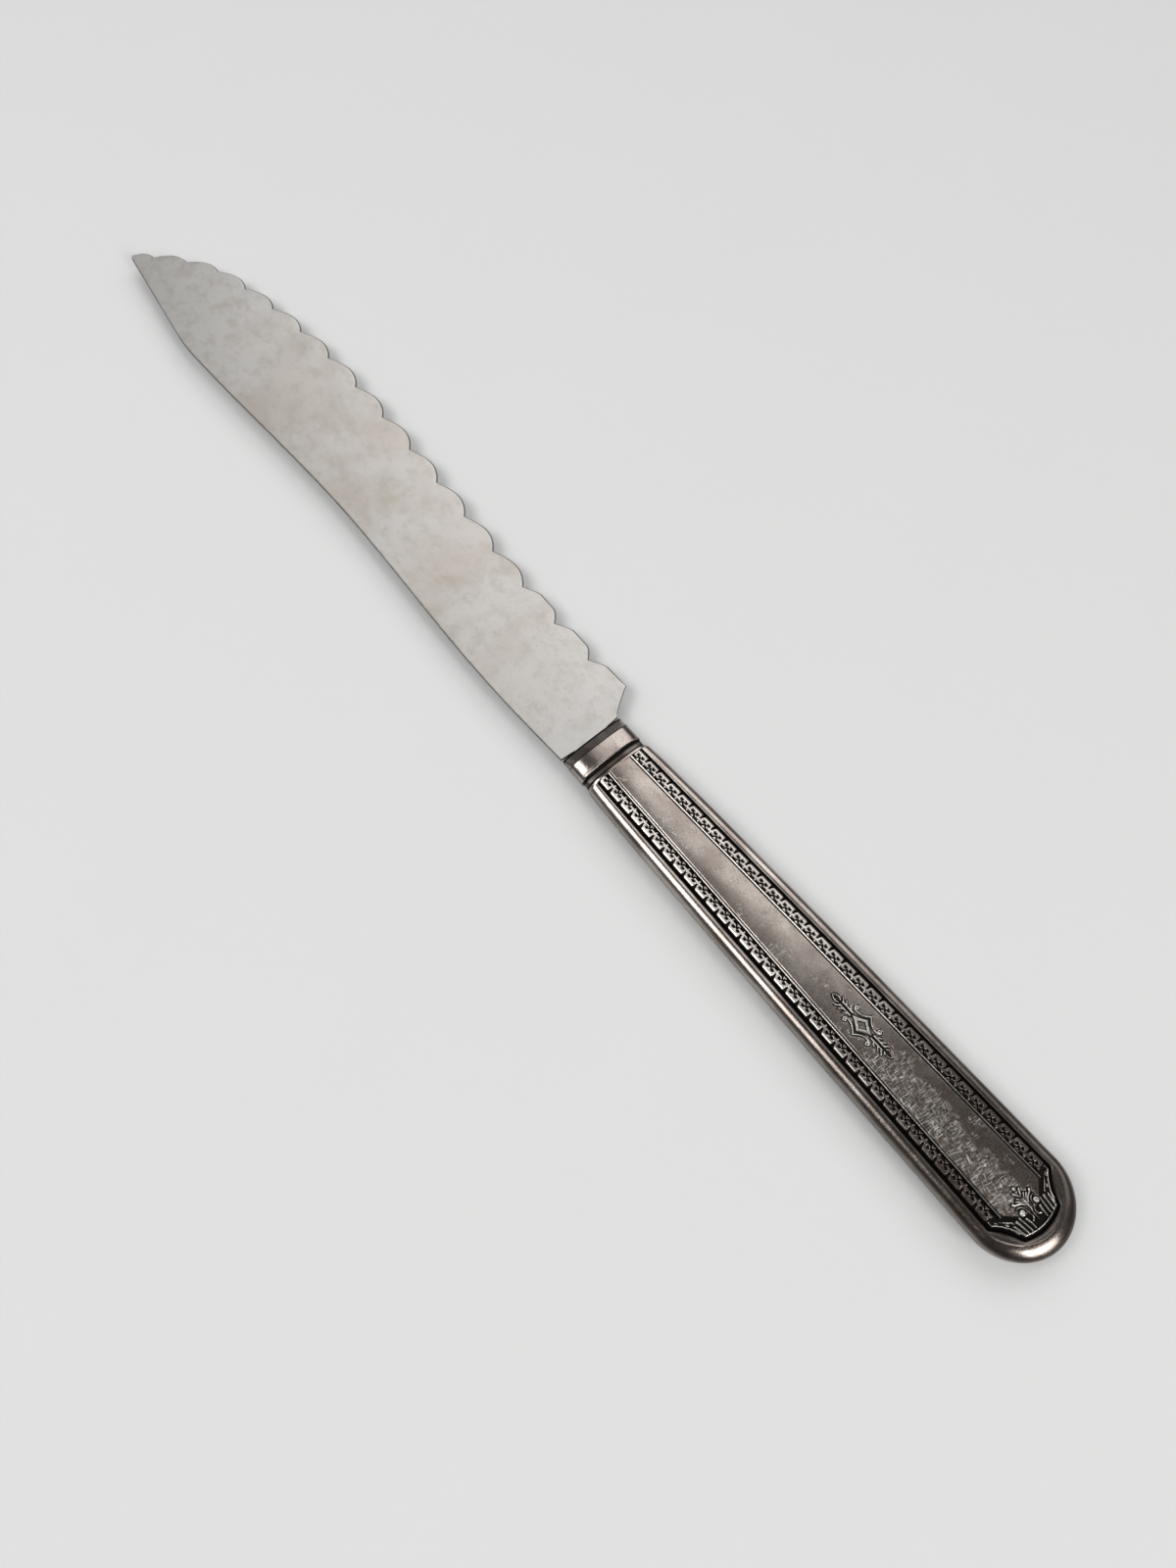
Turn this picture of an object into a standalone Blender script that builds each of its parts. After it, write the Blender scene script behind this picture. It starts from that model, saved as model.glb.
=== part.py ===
"""Cake knife: a scalloped steel blade in a hollow handle of two stamped and soldered shells.

Metres, +Z up. The knife lies on its back panel on the plane z = 0, with its seam level. The origin
is on that panel, at the middle of the handle. The handle points to +X, the blade to -X, and the
scalloped edge faces +Y.
"""
import bisect
import math

import bmesh
import bpy

# Blade
BLADE_LENGTH = 0.1709  # shoulder to tip
BLADE_THICKNESS = 0.0010  # at the spine and in the tang
GRIND_THICKNESS = 0.0008  # where the ground edge begins
EDGE_THICKNESS = 0.0003  # at the ground edge
GRIND_WIDTH = 0.0011  # width of the ground edge
HEEL_LENGTH = 0.0048  # hollow heel curve, along the blade
HEEL_HOLLOW = 0.0008  # how far the heel curve runs on level before it sweeps out
ROOT_HEIGHT = 0.0112  # line of the scallop roots above the handle's axis, at the heel
BELLY_HEIGHT = 0.0161  # the same line at the widest part of the blade
BELLY_FROM_TIP = 0.0588  # distance of the widest part from the tip
TIP_HEIGHT = -0.0016  # cutting side of the tip
TIP_BLUNT = 0.0012  # width of the blunt tip
TIP_ROUND = 0.0008  # length of the rounding at the tip
BELLY_DROP = 0.0050  # fall of the root line from the belly to the point
POINT_LENGTH = 0.0178  # the edge turns down to the point this far from the tip
POINT_ROUND = 0.0070  # rounding of that turn
SPINE_SWELL = 0.0006  # spine drops by this below the shoulder
SWELL_FROM_HEEL = 0.0228  # and is lowest here
SPINE_WAIST = 0.0020  # then rises by this to the waist
SPINE_BELLY = 0.0017  # and drops again by this to the clip
CLIP_LENGTH = 0.0345  # straight clipped back behind the tip
CLIP_ROUND = 0.0060  # rounding of the corner where the clip begins

# Scallops
HEEL_SCALLOP = 0.0094  # heel corner to the first root
SCALLOP_PITCH = 0.0111  # along the root line
TIP_PITCH = 0.0076  # pitch of the last scallop at the tip
PITCH_FADE = 0.070  # length over which the pitch falls to that of the tip
SCALLOP_DEPTH = 0.0020  # height of a scallop at full pitch
SCALLOP_SKEW = 0.85  # below 1 moves the crown of a scallop towards the heel
WORN_SCALLOPS = 3  # scallops ground flat at the heel
WORN_FULLNESS = 0.0026  # their height before that
WORN_DEPTH = 0.0020  # and after

# Tang
TANG_LENGTH = 0.055
TANG_WIDTH = 0.0085
TANG_END_WIDTH = 0.0045
SHOULDER_SLOPE = 0.0003  # fall of the shoulder towards the tang

# Handle shells
HANDLE_LENGTH = 0.1212
COLLAR_WIDTH = 0.0149
BUTT_WIDTH = 0.0200
FLARE_POWER = 0.6  # sides spread fast at the collar, then slowly
PANEL_HEIGHT = 0.0033  # middle of the seam to the flat panel
SHELL_WALL = 0.0005  # sheet thickness
LIP_LENGTH = 0.0024  # sloping end that closes on the blade
LIP_EDGE = 0.0004  # edge of that slope above the tang's slot
LIP_INSET = 0.0001  # narrowing of the slope's end
COLLAR_LENGTH = 0.0033
COLLAR_HEIGHT = 0.0027
COLLAR_SQUARENESS = 2.8  # 2 is an ellipse
RIDGE_RISE = 0.0002  # raised back edge of the collar
COVE_WIDTH = 0.0023
COVE_DEPTH = 0.0006  # below the collar
COVE_INDENT = 0.00025  # the cove also draws the sides in
COVE_BRINK = 0.35  # share of the depth that falls away at once on both sides
COVE_TROUGH = 0.3  # share of the width that slopes down on each side
LAND_LENGTH = 0.0005  # plain stretch between cove and border

# Stamped frame, from the side of the handle inwards
WALL_AT_COLLAR = 0.0006  # side wall, seen from above
WALL_AT_BUTT = 0.0009
ROLL_WIDTH = 0.0011  # rolled rim
ROLL_RISE = 0.0005  # above the groove
GROOVE_WIDTH = 0.0008
GROOVE_DROP = 0.0013  # groove floor below the panel
BORDER_WIDTH = 0.0020  # recessed band that carries the carving
BORDER_DROP = 0.0004  # band below the panel, at the bead
BORDER_SLOPE = 0.0003  # further drop across the band
BEAD_WIDTH = 0.0005  # raised line round the panel
BEAD_LINE = 0.0003  # depth of the fine cut on each side of it
STEP_WIDTH = 0.00012  # plan width of the steep faces between levels

# Butt end of the frame
END_RIM = 0.0037  # width of the plain rim round the end
SCOOP_DEPTH = 0.0029  # hollow corners of the frame
SCOOP_PULL = (0.38, 0.68)  # how hollow they are, along and across the handle
FRAME_BOW = 0.0008  # bowed end of the frame
SPRAY_FIELD = 0.0033  # field for the leaf spray between the bead and the frame's end
BEAD_CORNER = 0.0021  # slanted corners of the bead

# Filling and joints
SEAM_SOLDER = 0.0003  # solder between the two shells
BUTT_VOID = 0.0162  # left empty at the butt, past the filling
SLOT_SQUARENESS = 12  # of the opening for the tang
HOLLOW_SHARES = (1, 0.95, 0.8, 0.45)  # rows across the hollow of the collar
HOLLOW_CORNER = (0.4, 0.7)  # rounding inside the rim, across and up
FIT = 0.0003  # clearance between neighbours

# Fineness of the meshes
ROOT_STEPS = 1200
SCALLOP_STEPS = 12
SIDE_STEPS = 9
SIDE_SPACING = 1.4  # above 1 sets the stations closer near the collar
END_STEPS = 12
CURVE_STEPS = 8
TIP_ANGLES = (70, 40)
WALL_ANGLES = (0, 30, 60)
ROLL_ANGLES = (0, 45, 90, 135, 180)
RIM_ROWS = len(WALL_ANGLES) + len(ROLL_ANGLES)
SHARP_ANGLE = 32

SHOULDER_X = -HANDLE_LENGTH / 2
SEAM_Z = PANEL_HEIGHT
COVE_START = LIP_LENGTH + COLLAR_LENGTH
LAND_START = COVE_START + COVE_WIDTH
BORDER_START = LAND_START + LAND_LENGTH
END_CENTRE = HANDLE_LENGTH - BUTT_WIDTH / 2
CEMENT_END = HANDLE_LENGTH - BUTT_VOID
SLOT_HALF_WIDTH = TANG_WIDTH / 2 + FIT
SLOT_HALF_HEIGHT = BLADE_THICKNESS / 2 + FIT
FRAME_WIDTH = ROLL_WIDTH + GROOVE_WIDTH + BORDER_WIDTH + BEAD_WIDTH / 2


def mix(start, end, share):
    return start + (end - start) * share


def ease(share):
    """Smooth step from 0 to 1, level at both ends."""
    return share * share * (3 - 2 * share)


def oval_height(share, height, squareness):
    """Height of a superellipse at a share of its half width."""
    return height * max(1 - min(share, 1) ** squareness, 0) ** (1 / squareness)


def bezier(start, control, end, share):
    """Point of a quadratic curve in the plane."""
    return tuple(mix(mix(a, b, share), mix(b, c, share), share) for a, b, c in zip(start, control, end))


def turned(slope, end_slope, length, distance):
    """Rise along a line whose slope changes evenly over a length, and then stays."""
    past = min(distance, length)
    bend = (end_slope - slope) * past * past / (2 * length)
    return slope * past + bend + end_slope * (distance - past)


# Blade outline, measured from the shoulder towards the tip

def spine_height(distance):
    """Height of the blade's back over the handle's axis."""
    shoulder = -COLLAR_WIDTH / 2 + LIP_INSET
    swell = shoulder - SPINE_SWELL
    waist = swell + SPINE_WAIST
    belly = waist - SPINE_BELLY
    tip = TIP_HEIGHT - TIP_BLUNT
    clip = BLADE_LENGTH - CLIP_LENGTH
    waist_at = (SWELL_FROM_HEEL + clip) / 2
    if distance < SWELL_FROM_HEEL:
        return mix(shoulder, swell, math.sin(math.pi / 2 * distance / SWELL_FROM_HEEL))
    if distance < waist_at:
        return mix(swell, waist, ease((distance - SWELL_FROM_HEEL) / (waist_at - SWELL_FROM_HEEL)))
    if distance < clip:
        return mix(waist, belly, ease((distance - waist_at) / (clip - waist_at)))
    slope = (tip - belly) / (CLIP_LENGTH - CLIP_ROUND / 2)
    return belly + turned(0, slope, CLIP_ROUND, distance - clip)


def root_height(distance):
    """Height of the line through the roots of the scallops."""
    belly_at = BLADE_LENGTH - BELLY_FROM_TIP
    belly_length = BELLY_FROM_TIP - POINT_LENGTH
    if distance < belly_at:
        start = HEEL_LENGTH + HEEL_SCALLOP
        return mix(ROOT_HEIGHT, BELLY_HEIGHT, ease(max(distance - start, 0) / (belly_at - start)))
    if distance < belly_at + belly_length:
        return BELLY_HEIGHT - BELLY_DROP * ((distance - belly_at) / belly_length) ** 2
    slope = -2 * BELLY_DROP / belly_length
    fall = TIP_HEIGHT - BELLY_HEIGHT + BELLY_DROP
    end_slope = (fall - slope * POINT_ROUND / 2) / (POINT_LENGTH - POINT_ROUND / 2)
    past = distance - belly_at - belly_length
    return BELLY_HEIGHT - BELLY_DROP + turned(slope, end_slope, POINT_ROUND, past)


def root_points():
    """Roots between the scallops, stepped off along the root line from the heel to the tip."""
    first = HEEL_LENGTH + HEEL_SCALLOP - SCALLOP_PITCH
    line = []
    run = []
    for step in range(ROOT_STEPS + 1):
        distance = mix(first, BLADE_LENGTH, step / ROOT_STEPS)
        line.append((distance, root_height(distance)))
        run.append(run[-1] + math.dist(line[-1], line[-2]) if run else 0)
    total = run[-1]
    marks = [0]
    while marks[-1] < total:
        left = total - marks[-1]
        pitch = mix(TIP_PITCH, SCALLOP_PITCH, min(left / PITCH_FADE, 1))
        marks.append(total if left - pitch < TIP_PITCH / 2 else marks[-1] + pitch)
    return [line[min(bisect.bisect_left(run, mark), ROOT_STEPS)] for mark in marks]


def edge_points():
    """Cutting side of the outline, from the shoulder over the heel and the scallops to the tip."""
    shoulder = (FIT + SHOULDER_SLOPE, COLLAR_WIDTH / 2 - LIP_INSET)
    corner = (HEEL_LENGTH, root_height(HEEL_LENGTH) + WORN_DEPTH)
    level = (shoulder[0] + HEEL_HOLLOW, shoulder[1])
    points = [bezier(shoulder, level, corner, step / CURVE_STEPS) for step in range(CURVE_STEPS + 1)]
    roots = root_points()
    for number, (start, end) in enumerate(zip(roots, roots[1:])):
        chord = math.dist(start, end)
        along = ((end[0] - start[0]) / chord, (end[1] - start[1]) / chord)
        worn = number < WORN_SCALLOPS
        depth = WORN_FULLNESS if worn else SCALLOP_DEPTH * min(chord / SCALLOP_PITCH, 1)
        limit = WORN_DEPTH if worn else depth
        for step in range(1, SCALLOP_STEPS + 1):
            share = step / SCALLOP_STEPS
            rise = min(depth * math.sin(math.pi * share ** SCALLOP_SKEW), limit)
            distance = start[0] + along[0] * chord * share - along[1] * rise
            if distance > corner[0] + FIT:
                points.append((distance, start[1] + along[1] * chord * share + along[0] * rise))
    return points


def blade_rings():
    """Cross sections of the blade and its tang, from the tip to the end of the tang."""
    rings = []

    def add_ring(distance, back, edge, edge_thickness):
        grind = edge - min(GRIND_WIDTH, (edge - back) / 2)
        thick = BLADE_THICKNESS / 2
        ground = thick if edge_thickness == BLADE_THICKNESS else GRIND_THICKNESS / 2
        upper = [(back, thick), (grind, ground), (edge, edge_thickness / 2)]
        section = upper + [(y, -z) for y, z in reversed(upper)]
        rings.append([(-distance, y, z) for y, z in section])

    rounding = BLADE_LENGTH - TIP_ROUND
    for angle in TIP_ANGLES:
        distance = rounding + TIP_ROUND * math.sin(math.radians(angle))
        middle = TIP_HEIGHT - TIP_BLUNT / 2
        half = TIP_BLUNT / 2 * math.cos(math.radians(angle))
        add_ring(distance, middle - half, middle + half, EDGE_THICKNESS)
    points = [point for point in edge_points() if point[0] < rounding]
    for distance, edge in reversed(points):
        sharp = distance > HEEL_LENGTH + FIT
        add_ring(distance, spine_height(distance), edge, EDGE_THICKNESS if sharp else BLADE_THICKNESS)
    for distance, width in ((FIT, TANG_WIDTH), (-TANG_LENGTH, TANG_END_WIDTH)):
        add_ring(distance, -width / 2, width / 2, BLADE_THICKNESS)
    return rings


# Handle sections, measured from the shoulder towards the butt

def side_half_width(distance):
    """Half width of the handle at the seam, up to the round end."""
    share = min(max(distance - LAND_START, 0) / (END_CENTRE - LAND_START), 1)
    return mix(COLLAR_WIDTH, BUTT_WIDTH, share ** FLARE_POWER) / 2


def bead_half_spacing(distance):
    """Half the spacing of the two bead lines, which are straight."""
    at_collar = side_half_width(BORDER_START) - WALL_AT_COLLAR - FRAME_WIDTH
    at_butt = BUTT_WIDTH / 2 - WALL_AT_BUTT - FRAME_WIDTH
    return mix(at_collar, at_butt, (distance - BORDER_START) / (END_CENTRE - BORDER_START))


def frame_rows(distance):
    """Rows of the stamped frame from the seam to the panel, as offsets from the axis and heights."""
    half = side_half_width(distance)
    bead = bead_half_spacing(distance)
    border = bead + BEAD_WIDTH / 2 + BORDER_WIDTH
    roll = border + GROOVE_WIDTH + ROLL_WIDTH / 2
    floor = PANEL_HEIGHT - GROOVE_DROP
    rows = []
    wall = half - roll - ROLL_WIDTH / 2
    for angle in WALL_ANGLES:
        turn = math.radians(angle)
        rows.append((half - wall * (1 - math.cos(turn)), floor * math.sin(turn)))
    for angle in ROLL_ANGLES:
        turn = math.radians(angle)
        rows.append((roll + ROLL_WIDTH / 2 * math.cos(turn), floor + ROLL_RISE * math.sin(turn)))
    rows.append((border, floor))
    rows.append((border - STEP_WIDTH, PANEL_HEIGHT - BORDER_DROP - BORDER_SLOPE))
    rows.append((bead + BEAD_WIDTH / 2 + STEP_WIDTH, PANEL_HEIGHT - BORDER_DROP))
    rows.append((bead + BEAD_WIDTH / 2, PANEL_HEIGHT - BORDER_DROP - BEAD_LINE / 2))
    rows.append((bead, PANEL_HEIGHT))
    rows.append((bead - BEAD_WIDTH / 2, PANEL_HEIGHT - BEAD_LINE))
    rows.append((bead - BEAD_WIDTH / 2 - STEP_WIDTH, PANEL_HEIGHT))
    return rows


def smooth_rows(half, height):
    """The same rows on a plain oval section."""
    shares = [offset / side_half_width(BORDER_START) for offset, _ in frame_rows(BORDER_START)]
    return [(half * share, oval_height(share, height, COLLAR_SQUARENESS)) for share in shares]


def hollow_rows(half, height, squareness):
    """Rows of a plain hollow, from the seam to its flat roof."""
    return [(half * share, oval_height(share, height, squareness)) for share in HOLLOW_SHARES]


def frame_hollow_rows(distance):
    """Rows of the hollow under the stamped frame, one sheet thickness below it."""
    half = side_half_width(distance) - SHELL_WALL
    bead = bead_half_spacing(distance)
    floor = PANEL_HEIGHT - GROOVE_DROP - SHELL_WALL
    groove = bead + BEAD_WIDTH / 2 + BORDER_WIDTH + GROOVE_WIDTH
    roof = PANEL_HEIGHT - BORDER_DROP - BEAD_LINE - SHELL_WALL
    corner = (mix(half, groove, HOLLOW_CORNER[0]), floor * HOLLOW_CORNER[1])
    return [(half, 0), corner, (groove - SHELL_WALL, floor), (bead, roof)]


def collar_stations():
    """Distance, outer rows and inner rows of each section from the mouth to the start of the frame."""
    half = COLLAR_WIDTH / 2
    cove = COLLAR_HEIGHT - COVE_DEPTH
    lip = smooth_rows(half - LIP_INSET, SLOT_HALF_HEIGHT + LIP_EDGE)
    slot = hollow_rows(SLOT_HALF_WIDTH, SLOT_HALF_HEIGHT, SLOT_SQUARENESS)
    hollow = hollow_rows(half - COVE_INDENT - SHELL_WALL, cove - SHELL_WALL, COLLAR_SQUARENESS)
    collar = smooth_rows(half, COLLAR_HEIGHT)
    ridge = smooth_rows(half, COLLAR_HEIGHT + RIDGE_RISE)
    brink = smooth_rows(half - COVE_INDENT * COVE_BRINK, COLLAR_HEIGHT - COVE_DEPTH * COVE_BRINK)
    trough = smooth_rows(half - COVE_INDENT, cove)
    land = smooth_rows(half, PANEL_HEIGHT)
    border = smooth_rows(side_half_width(BORDER_START - STEP_WIDTH), PANEL_HEIGHT)
    return [
        (0, lip, slot),
        (LIP_LENGTH, collar, slot),
        (LIP_LENGTH + SHELL_WALL, collar, hollow),
        (COVE_START - RIDGE_RISE, ridge, hollow),
        (COVE_START, ridge, hollow),
        (COVE_START + STEP_WIDTH, brink, hollow),
        (COVE_START + COVE_WIDTH * COVE_TROUGH, trough, hollow),
        (LAND_START - COVE_WIDTH * COVE_TROUGH, trough, hollow),
        (LAND_START - STEP_WIDTH, brink, hollow),
        (LAND_START, land, hollow),
        (BORDER_START - STEP_WIDTH, border, hollow),
    ]


def side_stations():
    """Distances of the sections along the framed sides, closer where they spread fast."""
    shares = [(step / SIDE_STEPS) ** SIDE_SPACING for step in range(SIDE_STEPS + 1)]
    return [mix(BORDER_START, END_CENTRE, share) for share in shares]


def round_end(inset, share):
    """Point on the round butt end, inset from the seam."""
    turn = math.pi / 2 * share
    radius = BUTT_WIDTH / 2 - inset
    return END_CENTRE + radius * math.sin(turn), radius * math.cos(turn)


def frame_end(offset, end, share):
    """Point on the frame's end: a hollow corner, then a shallow bow."""
    turn = (end - FRAME_BOW, offset - SCOOP_DEPTH)
    if share <= 0.5:
        hollow = (mix(END_CENTRE, turn[0], SCOOP_PULL[0]), mix(offset, turn[1], SCOOP_PULL[1]))
        return bezier((END_CENTRE, offset), hollow, turn, share * 2)
    left = 2 - share * 2
    return end - FRAME_BOW * left * left, turn[1] * left


def bead_end(offset, end, share):
    """Point on the panel's end: a slanted corner, then straight across."""
    turn = (END_CENTRE + BEAD_CORNER, offset - BEAD_CORNER)
    if share <= 0.5:
        return mix(END_CENTRE, turn[0], share * 2), mix(offset, turn[1], share * 2)
    return mix(turn[0], end, share * 2 - 1), mix(turn[1], 0, share * 2 - 1)


def end_rows(share):
    """Outer rows round the butt end, as full points; share 0 is the side and 1 is the tip."""
    rows = frame_rows(END_CENTRE)
    rim = BUTT_WIDTH / 2 - rows[RIM_ROWS - 1][0]
    widen = mix(1, END_RIM / rim, math.sin(math.pi / 2 * share) ** 2)
    frame_tip = HANDLE_LENGTH - END_RIM - GROOVE_WIDTH
    bead_tip = frame_tip - SPRAY_FIELD
    points = []
    for number, (offset, height) in enumerate(rows):
        if number < RIM_ROWS:
            plan = round_end((BUTT_WIDTH / 2 - offset) * widen, share)
        elif number < RIM_ROWS + 2:
            plan = frame_end(offset, frame_tip + offset - rows[RIM_ROWS][0], share)
        else:
            plan = bead_end(offset, bead_tip + offset - rows[-1][0], share)
        points.append((*plan, height))
    return points


def end_hollow_rows(share):
    """Inner rows round the butt end."""
    rows = frame_hollow_rows(END_CENTRE)
    return [(*round_end(BUTT_WIDTH / 2 - offset, share), height) for offset, height in rows]


def shell_rows():
    """Outer and inner rows of half a shell at every station, from the mouth to the tip of the butt."""
    outer = []
    inner = []
    for distance, rows, hollow in collar_stations():
        outer.append([(distance, *row) for row in rows])
        inner.append([(distance, *row) for row in hollow])
    for distance in side_stations():
        outer.append([(distance, *row) for row in frame_rows(distance)])
        inner.append([(distance, *row) for row in frame_hollow_rows(distance)])
    for step in range(1, END_STEPS + 1):
        outer.append(end_rows(step / END_STEPS))
        inner.append(end_hollow_rows(step / END_STEPS))
    return outer, inner


# Meshes

def finish_object(name, bm, material, root, place):
    """Turns a closed bmesh into a smooth shaded object under the knife's root."""
    bmesh.ops.recalc_face_normals(bm, faces=bm.faces)
    mesh = bpy.data.meshes.new(name)
    bm.to_mesh(mesh)
    bm.free()
    mesh.shade_smooth()
    mesh.set_sharp_from_angle(angle=math.radians(SHARP_ANGLE))
    mesh.materials.append(material)
    piece = bpy.data.objects.new(name, mesh)
    bpy.context.collection.objects.link(piece)
    piece.parent = root
    piece.location = place
    return piece


def loft(rings):
    """Closed skin over rings with the same number of points."""
    bm = bmesh.new()
    layers = [[bm.verts.new(point) for point in ring] for ring in rings]
    for near, far in zip(layers, layers[1:]):
        for index in range(len(near)):
            after = (index + 1) % len(near)
            bm.faces.new((near[index], near[after], far[after], far[index]))
    bm.faces.new(layers[0])
    bm.faces.new(layers[-1])
    return bm


def mirrored_grid(bm, rows, lift):
    """Vertices of rows on both sides of the axis; the last station is shared on the axis."""
    sides = {}
    for side in (1, -1):
        sides[side] = []
        for station, points in enumerate(rows):
            if side < 0 and station == len(rows) - 1:
                sides[side].append(sides[1][station])
                continue
            last = station == len(rows) - 1
            line = [bm.verts.new((x, 0 if last else side * y, lift(z))) for x, y, z in points]
            sides[side].append(line)
    return sides


def skin_rows(bm, sides):
    """Faces between the rows of both sides, and the flat face between their inmost rows."""
    for lines in sides.values():
        for near, far in zip(lines, lines[1:]):
            for row in range(len(near) - 1):
                bm.faces.new((near[row], far[row], far[row + 1], near[row + 1]))
    right = sides[1]
    left = sides[-1]
    for station in range(len(right) - 1):
        corners = (right[station][-1], right[station + 1][-1], left[station + 1][-1], left[station][-1])
        bm.faces.new(dict.fromkeys(corners))


def build_shell(name, face, material, root):
    """One stamped half of the handle; face is 1 for the front and -1 for the back."""
    bm = bmesh.new()
    outer_rows, inner_rows = shell_rows()

    def lift(height):
        return face * max(height, SEAM_SOLDER / 2)

    outer = mirrored_grid(bm, outer_rows, lift)
    inner = mirrored_grid(bm, inner_rows, lift)
    skin_rows(bm, outer)
    skin_rows(bm, inner)
    for side in (1, -1):
        for station in range(len(outer_rows) - 1):
            rim = (outer[side][station][0], outer[side][station + 1][0])
            flange = (inner[side][station + 1][0], inner[side][station][0])
            bm.faces.new(rim + flange)
    mouth = outer[1][0] + outer[-1][0][::-1] + inner[-1][0] + inner[1][0][::-1]
    bm.faces.new(mouth)
    return finish_object(name, bm, material, root, (SHOULDER_X, 0, SEAM_Z))


def build_seam_solder(material, root):
    """Solder between the flanges of the two shells, all round from one side of the mouth to the other."""
    outer_rows, inner_rows = shell_rows()
    rings = []
    line = [(outer[0], inner[0]) for outer, inner in zip(outer_rows, inner_rows)]
    route = [(1, pair) for pair in line] + [(-1, pair) for pair in reversed(line[:-1])]
    for side, (rim, flange) in route:
        ring = []
        for (x, y, _), face in ((rim, 1), (flange, 1), (flange, -1), (rim, -1)):
            ring.append((x, side * y, face * SEAM_SOLDER / 2))
        rings.append(ring)
    return finish_object("seam_solder", loft(rings), material, root, (SHOULDER_X, 0, SEAM_Z))


def build_tang_cement(material, root):
    """Cement inside the shells, slotted for the tang."""
    start = LIP_LENGTH + SHELL_WALL + FIT
    sections = [(distance, hollow) for distance, _, hollow in collar_stations() if distance > start]
    sections.insert(0, (start, sections[0][1]))
    inside = [distance for distance in side_stations() if distance < CEMENT_END]
    sections += [(distance, frame_hollow_rows(distance)) for distance in inside]
    sections.append((CEMENT_END, frame_hollow_rows(CEMENT_END)))
    rings = []
    for distance, rows in sections:
        quarter = [(offset - FIT, max(height - FIT, 0)) for offset, height in rows]
        upper = quarter + [(-offset, height) for offset, height in reversed(quarter)]
        lower = [(offset, -height) for offset, height in reversed(upper[1:-1])]
        rings.append([(distance, offset, height) for offset, height in upper + lower])
    place = (SHOULDER_X, 0, SEAM_Z)
    cement = finish_object("tang_cement", loft(rings), material, root, place)
    half = SLOT_HALF_WIDTH
    tall = SLOT_HALF_HEIGHT
    face = [(-half, -tall), (half, -tall), (half, tall), (-half, tall)]
    ends = (start - FIT, TANG_LENGTH + FIT)
    slot = loft([[(distance, y, z) for y, z in face] for distance in ends])
    cutter = finish_object("tang_slot_cutter", slot, material, root, place)
    cutter.hide_render = True
    cutter.display_type = "WIRE"
    cut = cement.modifiers.new("tang_slot", "BOOLEAN")
    cut.operation = "DIFFERENCE"
    cut.solver = "EXACT"
    cut.object = cutter
    return cement


def metal(name, colour, roughness, metallic):
    """Principled material of one colour."""
    material = bpy.data.materials.new(name)
    material.use_nodes = True
    shader = material.node_tree.nodes["Principled BSDF"]
    shader.inputs["Base Color"].default_value = (*colour, 1)
    shader.inputs["Roughness"].default_value = roughness
    shader.inputs["Metallic"].default_value = metallic
    return material


def main():
    for old in list(bpy.data.objects):
        bpy.data.objects.remove(old, do_unlink=True)
    root = bpy.data.objects.new("cake_knife", None)
    bpy.context.collection.objects.link(root)
    steel = metal("blade_steel", (0.52, 0.51, 0.49), 0.38, 1)
    plate = metal("tarnished_plate", (0.20, 0.165, 0.145), 0.34, 1)
    back_plate = metal("back_plate", (0.20, 0.165, 0.145), 0.36, 1)
    solder = metal("hard_solder", (0.36, 0.33, 0.29), 0.45, 1)
    cement = metal("handle_cement", (0.34, 0.30, 0.26), 0.9, 0)
    finish_object("blade", loft(blade_rings()), steel, root, (SHOULDER_X, 0, SEAM_Z))
    build_shell("front_shell", 1, plate, root)
    build_shell("back_shell", -1, back_plate, root)
    build_seam_solder(solder, root)
    build_tang_cement(cement, root)


main()
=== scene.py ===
"""Cake knife with a scalloped steel blade and a stamped, tarnished silver handle.

Lengths in this file are in millimetres, apart from Blender's own values and the properties, which are
in metres. X runs along the handle to its butt, Y to the scalloped side, Z up, from the middle of the
handle on the table.
"""

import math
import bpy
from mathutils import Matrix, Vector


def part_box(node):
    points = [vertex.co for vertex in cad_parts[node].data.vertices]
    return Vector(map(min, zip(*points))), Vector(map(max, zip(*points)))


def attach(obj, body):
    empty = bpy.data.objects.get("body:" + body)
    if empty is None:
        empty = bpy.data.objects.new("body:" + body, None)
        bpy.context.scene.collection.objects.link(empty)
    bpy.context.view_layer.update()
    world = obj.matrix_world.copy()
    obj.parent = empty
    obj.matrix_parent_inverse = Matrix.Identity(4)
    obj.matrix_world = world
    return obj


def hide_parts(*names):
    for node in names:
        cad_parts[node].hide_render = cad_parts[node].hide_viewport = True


bl_info = {
    "name": "Cake knife",
    "version": (1, 0, 0),
    "blender": (4, 5, 0),
    "location": "View3D > Sidebar > Cake knife",
    "description": "Dresses a cake knife with a scalloped blade and a stamped handle, on a plain stage",
    "category": "Add Mesh",
}

import bmesh
import bpy
import numpy as np
from bpy.props import FloatProperty, FloatVectorProperty, IntProperty, PointerProperty
from mathutils import Matrix, Vector

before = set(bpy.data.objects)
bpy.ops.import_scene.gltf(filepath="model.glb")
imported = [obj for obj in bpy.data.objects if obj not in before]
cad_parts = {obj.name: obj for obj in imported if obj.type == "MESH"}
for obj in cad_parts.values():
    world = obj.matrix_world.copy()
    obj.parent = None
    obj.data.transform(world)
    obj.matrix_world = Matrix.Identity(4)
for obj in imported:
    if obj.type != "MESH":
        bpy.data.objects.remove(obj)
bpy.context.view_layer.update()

MM = 0.001
SHELL_LOW, SHELL_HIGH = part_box("front_shell")

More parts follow.
